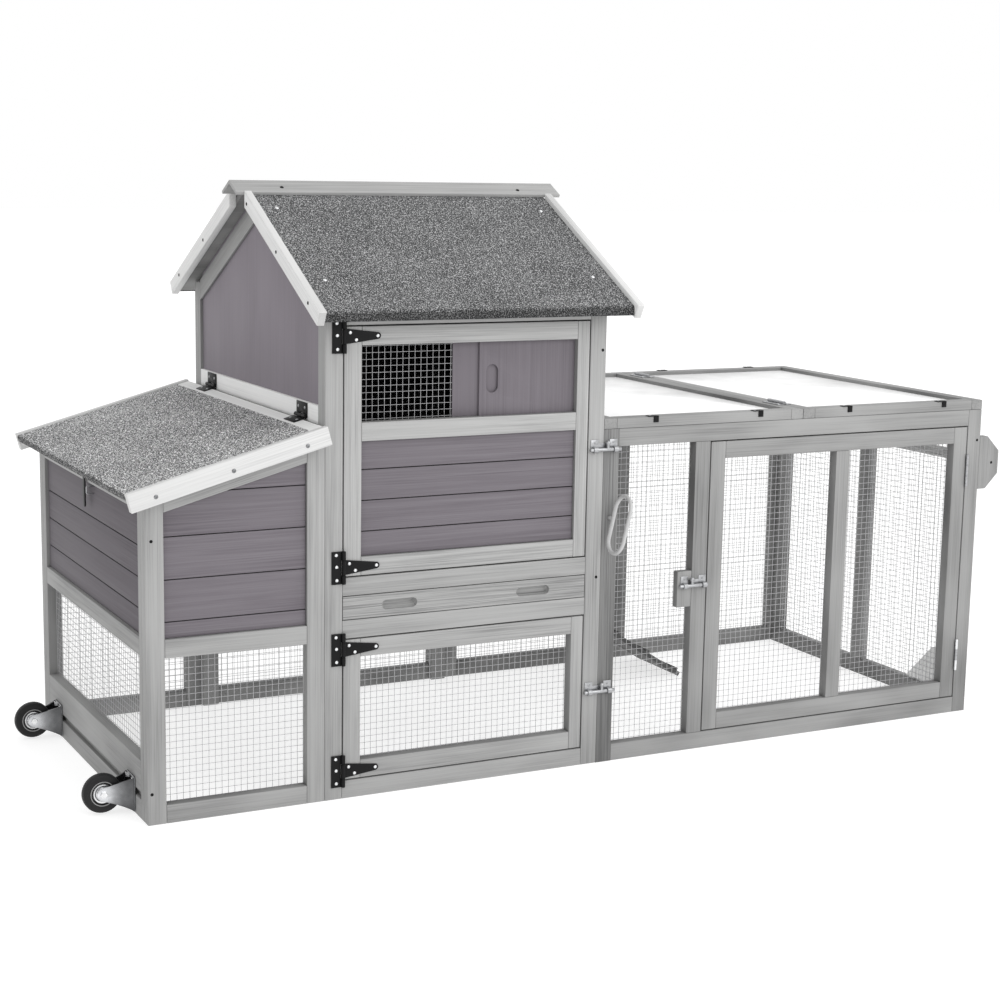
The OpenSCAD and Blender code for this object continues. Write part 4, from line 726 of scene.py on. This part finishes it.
def wires(start, end, step, count):
    """One straight wire from start to end, repeated by its pitch."""
    bpy.ops.object.select_all(action="DESELECT")
    reach = end - start
    bpy.ops.mesh.primitive_cylinder_add(vertices=6, radius=0.0005, depth=reach.length,
                                        location=(start + end) / 2,
                                        rotation=reach.to_track_quat("Z", "Y").to_euler())
    strand = bpy.context.object
    bpy.ops.object.transform_apply(location=True, rotation=True, scale=True)
    pitch = strand.modifiers.new("pitch", "ARRAY")
    pitch.use_relative_offset = False
    pitch.use_constant_offset = True
    pitch.constant_offset_displace = step
    pitch.count = count
    bpy.ops.object.modifier_apply(modifier="pitch")
    strand.data.materials.append(wire)
    return strand


def net(lo, hi):
    """A flat panel of mesh between two corners that share one coordinate."""
    flat = 1 if lo[1] == hi[1] else 0
    wide = 1 - flat
    width, height = hi[wide] - lo[wide], hi[2] - lo[2]
    cells, rows = int(width / mesh_pitch), int(height / mesh_pitch)
    side, back, up = Vector((0, 0, 0)), Vector((0, 0, 0)), Vector((0, 0, 1))
    side[wide], back[flat] = 1, 1
    first = Vector(lo) + side * (width - cells * mesh_pitch) / 2
    base = Vector(lo) + back + up * (height - rows * mesh_pitch) / 2
    return [wires(at(*first), at(first[0], first[1], hi[2]), side * mesh_pitch / 1000, cells + 1),
            wires(at(*base), at(*(base + side * width)), up * mesh_pitch / 1000, rows + 1)]


fixed = net((18.6, 44, 114), (18.6, 721, 317))
for y, left, right, low, high in ((mesh_front, 36, 316, 36, 317), (mesh_back, 36, 316, 36, 317),
                                  (mesh_back, 388, 922, 36, 320), (mesh_front, 994, 1180, 36, 664),
                                  (mesh_back, 994, 1430.5, 36, 664), (mesh_back, 1466.5, 1903, 36, 664)):
    fixed += net((left, y, low), (right, y, high))
for front, back in ((60.2, 364.5), (400.5, 704.8)):
    fixed += net((1919.6, front, 36), (1919.6, back, 664))
fix("wall_wire", fixed, "coop", "net_wire", "fixed_nets")
fix("window_wire", net((426.5, 18.8, 738), (624.6, 18.8, 884.5)), "upper_door", "net_wire", "upper_door_net")
fix("lower_door_wire", net((426.5, mesh_front, 74.5), (892.5, mesh_front, 281.5)),
    "lower_door", "net_wire", "lower_door_net")
door_nets = [strands for left, right in ((1254.5, 1541.5), (1577.5, 1864.5))
             for strands in net((left, mesh_front, 74.5), (right, mesh_front, 625.5))]
fix("run_door_wire", door_nets, "run_door", "net_wire", "run_door_net")

# T-hinges of the house doors
# Pressed steel painted black: a plate on the post, a barrel and a strap that tapers to a round tip
# on the door, held by bright pan-head screws.


def plated(name, colour, metal, rough, speck, spread, shine=0.5, painted_shade=None):
    """Painted or plated steel with a faint orange peel and uneven gloss.

    Where an attribute is named, its value scales the colour, as painted shade.
    """
    coat, tree, shader = blank(name)
    noise = cloud(tree, speck, 3)
    dark, pale = ([min(1, v * k) for v in colour] for k in (1 - spread, 1 + spread))
    tones = ramp(tree, noise, (0.0, dark), (1.0, pale))
    if painted_shade:
        rubbed_and_shaded = add(tree, "Attribute", {}, attribute_name=painted_shade).outputs["Fac"]
        tones = add(tree, "HueSaturation", {"Value": rubbed_and_shaded, "Color": tones}).outputs["Color"]
    plug(tree, shader, {"Base Color": tones, "Metallic": metal, "Specular IOR Level": shine,
                        "Roughness": between(tree, noise, rough * 0.75, rough * 1.25),
                        "Normal": relief(tree, noise, 0.15, 0.0003)})
    return coat


black = plated("black_paint", (0.006, 0.006, 0.0065), 0.0, 0.45, 500, 0.25, 0.16)
zinc = plated("zinc_plate", (0.40, 0.405, 0.415), 0.85, 0.3, 220, 0.3)
bright = plated("bright_screw", (0.80, 0.81, 0.82), 0.7, 0.3, 220, 0.15)


def turn_outward():
    """Turns all the faces of the active piece outwards."""
    mode("EDIT")
    bpy.ops.mesh.select_all(action="SELECT")
    bpy.ops.mesh.normals_make_consistent(inside=False)
    mode("OBJECT")


def pressed(outline, thickness, corner, coat, across=(1, 0, 0), upward=(0, 0, 1), arris=0.35):
    """A plate cut to an outline and eased at its edges, its back at a corner and facing away from it."""
    bpy.ops.object.select_all(action="DESELECT")
    bpy.ops.mesh.primitive_circle_add(vertices=len(outline), radius=1, fill_type="NGON", location=(0, 0, 0))
    plate = bpy.context.object
    for vertex, (u, v) in zip(plate.data.vertices, outline):
        vertex.co = (u / 1000, v / 1000, 0)
    if plate.data.polygons[0].normal.z < 0:
        plate.data.flip_normals()
    thicken(plate, thickness / 1000, 1)
    turn_outward()
    ease(arris, 40)
    across, upward = Vector(across), Vector(upward)
    turn = Matrix((across, upward, across.cross(upward))).transposed().to_4x4()
    plate.data.transform(Matrix.Translation(at(*corner)) @ turn)
    plate.data.materials.append(coat)
    return plate


def turned(profile, centre, way, coat, steps=20):
    """A profile of radius and length, turned about an axis that starts at a centre."""
    bpy.ops.object.select_all(action="DESELECT")
    bpy.ops.mesh.primitive_plane_add(size=0.001, location=(0, 0, 0))
    piece = bpy.context.object
    mode("EDIT")
    bpy.ops.mesh.select_mode(type="VERT")
    bpy.ops.mesh.select_all(action="SELECT")
    bpy.ops.mesh.merge(type="CENTER")
    bpy.ops.transform.translate(value=(profile[0][0] / 1000, 0, profile[0][1] / 1000))
    for (a, b), (c, d) in zip(profile, profile[1:]):
        step = ((c - a) / 1000, 0, (d - b) / 1000)
        bpy.ops.mesh.extrude_vertices_move(TRANSFORM_OT_translate={"value": step})
    bpy.ops.mesh.select_all(action="SELECT")
    bpy.ops.mesh.spin(steps=steps, angle=2 * math.pi, center=(0, 0, 0), axis=(0, 0, 1))
    bpy.ops.mesh.select_all(action="SELECT")
    bpy.ops.mesh.remove_doubles(threshold=1e-6)
    bpy.ops.mesh.normals_make_consistent(inside=False)
    mode("OBJECT")
    turn = Vector(way).to_track_quat("Z", "Y").to_matrix().to_4x4()
    piece.data.transform(Matrix.Translation(at(*centre)) @ turn)
    piece.data.materials.append(coat)
    return piece


def copies(first, place, others):
    """The same piece again at other places, each with a mesh of its own."""
    made = [first]
    for other in others:
        twin = first.copy()
        twin.data = first.data.copy()
        twin.data.transform(Matrix.Translation(at(*other) - at(*place)))
        bpy.context.collection.objects.link(twin)
        made.append(twin)
    return made


def screws(places, way, coat, size=1.0):
    """Pan heads with a driver recess, one turned and the others copied from it."""
    head = [(r * size, h * size) for r, h in ((0, 0.5), (1, 0.5), (1.3, 1.15), (2.4, 0.95), (3.3, 0), (0, 0))]
    return copies(turned(head, places[0], way, coat, 10), places[0], places[1:])


def barrel(low, high, hinge, way, coat, radius=4.0):
    """A hinge knuckle with eased ends, between two places along the hinge."""
    rim = radius - 0.6
    profile = [(0, low), (rim, low), (radius, low + 0.6), (radius, high - 0.6), (rim, high), (0, high)]
    return turned(profile, hinge, way, coat)


def knuckles(low, high, *more):
    """The two outer knuckles of a hinge."""
    return [barrel(low, high, *more), barrel(-high, -low, *more)]


def arc(radius, centre, start, stop, step):
    """Points of an arc about a centre, by the angle from straight up, clockwise."""
    angles = [math.radians(v) for v in range(start, stop, step)]
    return [(centre[0] + radius * math.sin(v), centre[1] + radius * math.cos(v)) for v in angles]


rightward, backward, skyward = (1, 0, 0), (0, 1, 0), (0, 0, 1)
leftward, toward = (-1, 0, 0), (0, -1, 0)
post_plate = [(-24, -32), (-2, -32), (-2, -14.5), (-4.5, -14.5),
              (-4.5, 14.5), (-2, 14.5), (-2, 32), (-24, 32)]
strap = [(2, -14), (8, -14)] + arc(6.5, (68.5, 0), 180, -1, -20) + [(8, 14), (2, 14)]
pin_x, pin_y, face_y, head_y = 389.25, -4.2, -0.2, -2.2
black_plates = []
for name, heights in (("upper", (460.5, 902.5)), ("lower", (56.5, 299.5))):
    straps = []
    for z in heights:
        hinge = (pin_x, pin_y, z)
        black_plates.append(pressed(post_plate, 2, (pin_x, face_y, z), black))
        black_plates += knuckles(14.5, 32, hinge, skyward, black)
        post_spots = [(374.5, head_y, z + 25), (375.5, head_y, z + 2), (376, head_y, z - 24)]
        black_plates += screws(post_spots, toward, bright)
        straps.append(pressed(strap, 2, (pin_x, face_y, z), black))
        straps.append(barrel(-14, 14, hinge, skyward, black))
        straps += screws([(401.5, head_y, z + 7), (414, head_y, z - 7), (458, head_y, z)], toward, bright)
    fix(name + "_door_tee_straps", straps, name + "_door", "black_metal", name + "_door_straps")

# Hinges and latch of the nest roof
# Two black butt hinges, screwed to the pale rail and to the roof, and a lug with a pin that the latch
# strap hangs on. A wire staple stands in the end wall beside the strap.
leaf = [(-27, 26), (-27, 2), (-9.5, 2), (-9.5, 4.5), (9.5, 4.5), (9.5, 2), (27, 2), (27, 26)]
roof_leaf = [(-26, -27), (-4.5, -27), (-4.5, -9), (-2, -9), (-2, 9), (-4.5, 9), (-4.5, 27), (-26, 27)]
roof_x, roof_z = (tilt.to_3x3() @ Vector(v) for v in (rightward, skyward))
pin_z = 742.05
roof_irons = []
for y in (116, 649):
    hinge = (hinge_x, y, pin_z)
    black_plates.append(pressed(leaf, 2, (349.8, y, pin_z), black, backward))
    black_plates += knuckles(9.5, 27, hinge, backward, black)
    black_plates += screws([(349.8, y - 17, 758), (349.8, y + 17, 758)], leftward, zinc)
    flap = pressed(roof_leaf, 2, hinge, black, roof_x, backward)
    flap.data.transform(Matrix.Translation(-0.004 * roof_z))
    roof_irons += [flap, barrel(-9, 9, hinge, backward, black)]
    heads = screws([(hinge_x - 15, y - 17, pin_z - 2), (hinge_x - 15, y + 17, pin_z - 2)], skyward, zinc)
    for head in heads:
        head.data.transform(tilt)
    roof_irons += heads
lug_y, lug_z = 382.5, 612
roof_irons.append(board((-3.4, lug_y - 9, 603), (-0.4, lug_y + 9, 640), black, [((352.9, 0, 723.3), up_rise)],
                        arris=0.4))
rivet = [(0, 0), (2.25, 0), (2.25, 5.6), (3.6, 5.8), (3.4, 6.6), (0, 7)]
roof_irons.append(turned(rivet, (-0.4, lug_y, lug_z), leftward, black))
fix("nest_roof_irons", roof_irons, "nest_roof", "black_metal", "nest_roof_leaves")
blade = arc(6, (0, 0), -100, 101, 25) + [(4.3, -14), (4.3, -50)]
blade += arc(5, (0, -66), 100, 261, 32) + [(-9, -50), (-11, -34), (-9, -18)]
fix("latch_blade", [pressed(blade, 3, (-3.8, lug_y, lug_z), black, toward, arris=0.5)],
    "latch", "black_metal", "latch_strap")
staple = [(6.8, -9), (-6, -9), (-9, -6), (-9, 6), (-6, 9), (6.8, 9),
          (6.8, 6), (-5.2, 6), (-6, 5.2), (-6, -5.2), (-5.2, -6), (6.8, -6)]
plated_irons = [pressed(staple, 3, (0, 361, 578.4), zinc, arris=0.9)]

# Hinges and clips of the run top
# Two plated butt hinges join the halves of the top, and black angle clips hold it down along the rails.
flag = [(-17, -30), (-2, -30), (-2, -10.5), (-4.5, -10.5), (-4.5, 10.5), (-2, 10.5), (-2, 30), (-17, 30)]
wing = [(17, 30), (4.5, 30), (4.5, 10), (2, 10), (2, -10), (4.5, -10), (4.5, -30), (17, -30)]
fold_x, top_z, plate_z = 1448.5, 721.6, 723.6
lid_irons = []
for y in (100, 665):
    hinge = (fold_x, y, top_z + 4)
    plated_irons.append(pressed(flag, 2, (fold_x, y, top_z), zinc, upward=backward))
    plated_irons += knuckles(10.5, 30, hinge, backward, zinc)
    plated_irons += screws([(1438, y - 20, plate_z), (1438, y + 20, plate_z)], skyward, zinc)
    lid_irons.append(pressed(wing, 2, (fold_x, y, top_z), zinc, upward=backward))
    lid_irons.append(barrel(-10, 10, hinge, backward, zinc))
    lid_irons += screws([(1459, y - 20, plate_z), (1459, y + 20, plate_z)], skyward, zinc)


def clips(*places):
    """Angle clips over the edge of the run top, at the front and at the back."""
    made = []
    for x in places:
        made += pair((x - 12, -1.7, top_z), (x + 12, 12, 723.1), black, arris=0.3)
        made += pair((x, -1.7, 709.4), (x + 12, -0.2, 723.1), black, arris=0.3)
        for y in (6, depth - 6):
            made += screws([(x - 6, y, 723.1)], skyward, zinc, 0.8)
    return made


fix("black_plates", black_plates + clips(1074, 1332.5), "coop", "black_metal", "black_fittings")
fix("lid_irons", lid_irons + clips(1564.5, 1823), "run_lid", "zinc_metal", "lid_right_fittings")

# Barrel bolts
# Plated bolts on the house post and on the run: a stamped plate with two saddles, and a round rod
# with a knob between them.
back_plate = [(0, -5), (62, -5), (62, 20), (44, 20), (44, 12), (18, 12), (18, 20), (0, 20)]
saddle = [(4.5, 0), (6.4, 0), (6.4, 9), (4.5, 9), (4.5, 0)]
knob = [(0, 0), (3.6, 0), (3.6, 9.6), (4.3, 10.6), (4.7, 12.4), (4.7, 13.8), (4, 16.2), (2.4, 17.8),
        (0, 18.3)]
rod_y = -7.2
for name, start, z, tail, nose, knob_x in (("upper_bolt", 927, 660, 922.5, 995, 964),
                                           ("lower_bolt", 927, 155, 922.5, 995, 964),
                                           ("run_bolt", 1152, 360, 1146, 1215.5, 1177)):
    plated_irons.append(pressed(back_plate, 1.5, (start, face_y, z), zinc))
    plated_irons += copies(turned(saddle, (start + 3, rod_y, z), rightward, zinc), (0, 0, 0), [(47, 0, 0)])
    plated_irons += screws([(start + 9, -1.7, z + 14), (start + 53, -1.7, z + 14)], toward, zinc, 0.8)
    nose_end = [(4, 2), (3.5, 0.7), (2.4, 0), (0, 0)]
    rod = nose_end[::-1] + [(r, nose - tail - h) for r, h in nose_end]
    fix(name + "_rod", [turned(rod, (tail, rod_y, z), rightward, zinc, 24),
                        turned(knob, (knob_x, rod_y, z), skyward, zinc)], name, "zinc_metal", name)

# Run door hinges and ramp bearing
# Slim plated butts in the gap beside the run door, and a plated rod in two brackets that the ramp turns on.
# The lower hinge takes the bright coat and the upper one plain zinc: painted light and painted shade of one
# plating.
for z, plate in ((136.5, bright), (563.5, zinc)):
    plated_irons.append(board((1901.9, -0.7, z - 36), (1902.8, 17.8, z + 36), plate, arris=0.2))
    plated_irons += knuckles(12.5, 36, (1901.75, pin_y, z), skyward, plate, 3)
    for low in (-36, 12.5):
        plated_irons.append(board((1901.9, -3.2, z + low), (1902.8, -0.5, z + low + 23.5), plate, arris=0.2))
bearing = [(0, -10), (11, -10)] + arc(10, (11, 0), 160, 19, -20) + [(11, 10), (0, 10)]
ramp_z = 338
for y in (563, 677):
    plated_irons.append(pressed(bearing, 6, (958.2, y, ramp_z), zinc))
ramp_rod = [(0, 0), (4.4, 0), (5, 0.8), (5, 189.2), (4.4, 190), (0, 190)]
plated_irons.append(turned(ramp_rod, (969, 522, ramp_z), backward, zinc))
fix("plated_irons", plated_irons, "coop", "zinc_metal", "silver_fittings")
coat_solids(zinc, "run_door_leaves", "tray_pan")
coat_solids(plated("white_wire_coat", (0.50, 0.50, 0.50), 0.1, 0.4, 300, 0.12), "pull_rod")

# Casters
# Rigid casters of bright plated steel: a fork pressed from sheet, spread towards its base plate, an axle
# with hexagon heads, and a black rubber tyre on a pressed hub.
chrome = plated("bright_plate", (0.85, 0.86, 0.88), 0.9, 0.2, 120, 0.25)
# A dark copy of the casters' bright plating, for the base plates and some screws: painted shade.
shaded_steel = plated("fork_steel", (0.22, 0.225, 0.23), 0.9, 0.22, 60, 0.5)
# The fork's steel takes painted shade from an attribute of the legs.
fork_steel = plated("fork_painted_shade", (0.72, 0.73, 0.75), 0.9, 0.2, 90, 0.3, 0.5, "painted_shade")
rubber = plated("black_rubber", (0.012, 0.012, 0.0125), 0.0, 0.55, 300, 0.3, 0.3)
highlight_rubber = plated("grey_rubber_highlight", (0.30, 0.30, 0.30), 0.0, 0.5, 300, 0.2)


def both_sides(half):
    """A closed profile, the same on both sides of the wheel."""
    return half + [(r, -h) for r, h in reversed(half)] + half[:1]


tyre = both_sides([(19.6, -6.5), (20.4, -7.5), (21.5, -9.0), (24, -9.2), (26.5, -8.4), (30, -9.2),
                   (34.5, -9.2), (36.8, -7.8), (38, -4.5)])
hub = both_sides([(4.2, -10), (7.5, -10), (8.5, -9.2), (10, -8.0), (13, -7.4), (15.5, -8.8), (18, -8.8),
                  (19.4, -7.2)])
ring = [(22.2, -9.0), (22.6, -9.8), (23.6, -9.8), (24.2, -9.0), (22.2, -9.0)]
axle_x, axle_z, front_y, back_y, plate_z = -58, 41, 105, 640, 38
for name, y in (("front", front_y), ("back", back_y)):
    axle = (axle_x, y, axle_z)
    rims = [turned(tyre, axle, backward, rubber, 40)]
    # A thin ring of paler rubber on each side of the tyre: a painted highlight on its moulded ridge.
    rims += [turned(ring, axle, way, highlight_rubber, 40) for way in (backward, toward)]
    fix("tyre_" + name, rims, "wheel_" + name, "wheel_rubber", "wheel_" + name)
    fix("hub_" + name, [turned(hub, axle, backward, chrome, 32)], "wheel_" + name, "fork_metal")
bpy.ops.object.select_all(action="DESELECT")
bpy.ops.mesh.primitive_grid_add(x_subdivisions=18, y_subdivisions=8, size=1, location=(0, 0, 0))
leg = bpy.context.object
# Painted shade on the fork legs: darker towards the base plate and towards the edges.
rubbed_and_shaded = leg.data.attributes.new("painted_shade", "FLOAT", "POINT").data
eye = 0.75
for vertex in leg.data.vertices:
    s, t = vertex.co.x + 0.5, vertex.co.y * 2
    rubbed_and_shaded[vertex.index].value = (0.16 + 0.84 * min(1, s / 0.7) ** 2.5) * (1 - 0.3 * abs(t) ** 3)
    if s <= eye:
        s /= eye
        half, spread = 33 - 20 * s ** 0.8, 14 + 11.5 * (1 - s) ** 2.2
        x, z = -3.2 - 54.8 * s, plate_z + 3 * s
    else:
        swing = (s - eye) / (1 - eye) * math.pi / 2
        half, spread = 13 * math.cos(swing), 14
        x, z = axle_x - 13 * math.sin(swing), axle_z
    rib = 1.4 * max(0, 1 - abs(t) * 1.6) * max(0, 1 - abs(s - 0.45) * 2.4) if x > -50 else 0
    vertex.co = at(x, front_y + spread + rib, z + half * t)
mode("EDIT")
bpy.ops.mesh.select_all(action="SELECT")
bpy.ops.mesh.remove_doubles(threshold=1e-6)
mode("OBJECT")
thicken(leg, 0.003, 0)
turn_outward()
leg.data.materials.append(fork_steel)
other = leg.copy()
other.data = leg.data.copy()
to_middle = Matrix.Translation(-at(0, front_y, 0))
other.data.transform(to_middle.inverted() @ Matrix.Diagonal((1, -1, 1, 1)) @ to_middle)
other.data.flip_normals()
bpy.context.collection.objects.link(other)
base = [(-28, -31), (-24, -35), (24, -35), (28, -31), (28, 31), (24, 35), (-24, 35), (-28, 31)]
fork = [leg, other, pressed(base, 3, (-0.2, front_y, plate_z), shaded_steel, toward, arris=0.6)]
nut = [(0, 0), (7.2, 0), (7.2, 2.4), (6.4, 3), (0, 3)]
reach = 15.5
for way in (toward, backward):
    fork.append(turned(nut, (axle_x, front_y + reach * way[1], axle_z), way, chrome, 6))
pin = [(0, -reach), (4, -reach), (4, reach), (0, reach)]
fork.append(turned(pin, (axle_x, front_y, axle_z), backward, chrome, 16))
bolts = [(-3.2, front_y + u, plate_z + v) for u in (-20, 20) for v in (-27, 27)]
bolt_head = [(0, 0), (5, 0), (5, 2.6), (4.3, 3.2), (0, 3.2)]
fork += copies(turned(bolt_head, bolts[0], leftward, chrome, 6), bolts[0], bolts[1:])
fork += [twin for piece in list(fork) for twin in copies(piece, (0, front_y, 0), [(0, back_y, 0)])[1:]]
fix("caster_frames", fork, "coop", "fork_metal", "caster_forks")

# Screws and nails
# Dark screw heads in the frames and the trim, and bright felt nails near the corners of the front slope.
sunk = [(x, 0.4, z) for x, z in ((12.6, 538.8), (8, 60), (948, 396), (950, 861), (1930, 630.6), (1975, 577))]
fix("frame_screws", screws(sunk, toward, black, 1.1), "coop", "black_metal")
nest_trim = [(11.3, -38.2, 627.4), (158.3, -38.2, 666.2), (302.4, -38.2, 704.9)]
fix("nest_trim_screws", screws(nest_trim, toward, shaded_steel, 1.3), "nest_roof", "zinc_metal")
verge = [(315.3, y, z) for y, z in ((324.7, 1138.4), (160.3, 1052), (-6, 966.5), (595.3, 1056.1),
                                    (761.4, 972.9))]
fix("verge_screws", screws(verge, leftward, black, 1.2), "coop", "black_metal")
ridge = [(x, y, cap_top + y * math.tan(fall)) for x, y in ((401.4, 356.6), (935.3, 354.5))]
fix("ridge_screws", screws(ridge, up_front, black, 1.3), "coop", "black_metal")
nails = [(x, y, slope_height(y, felt_up)) for x, y in ((958, 289), (952.6, 52), (372.6, 53), (368, 295.5))]
fix("felt_nails", screws(nails, up_front, bright, 1.2), "coop", "zinc_metal")
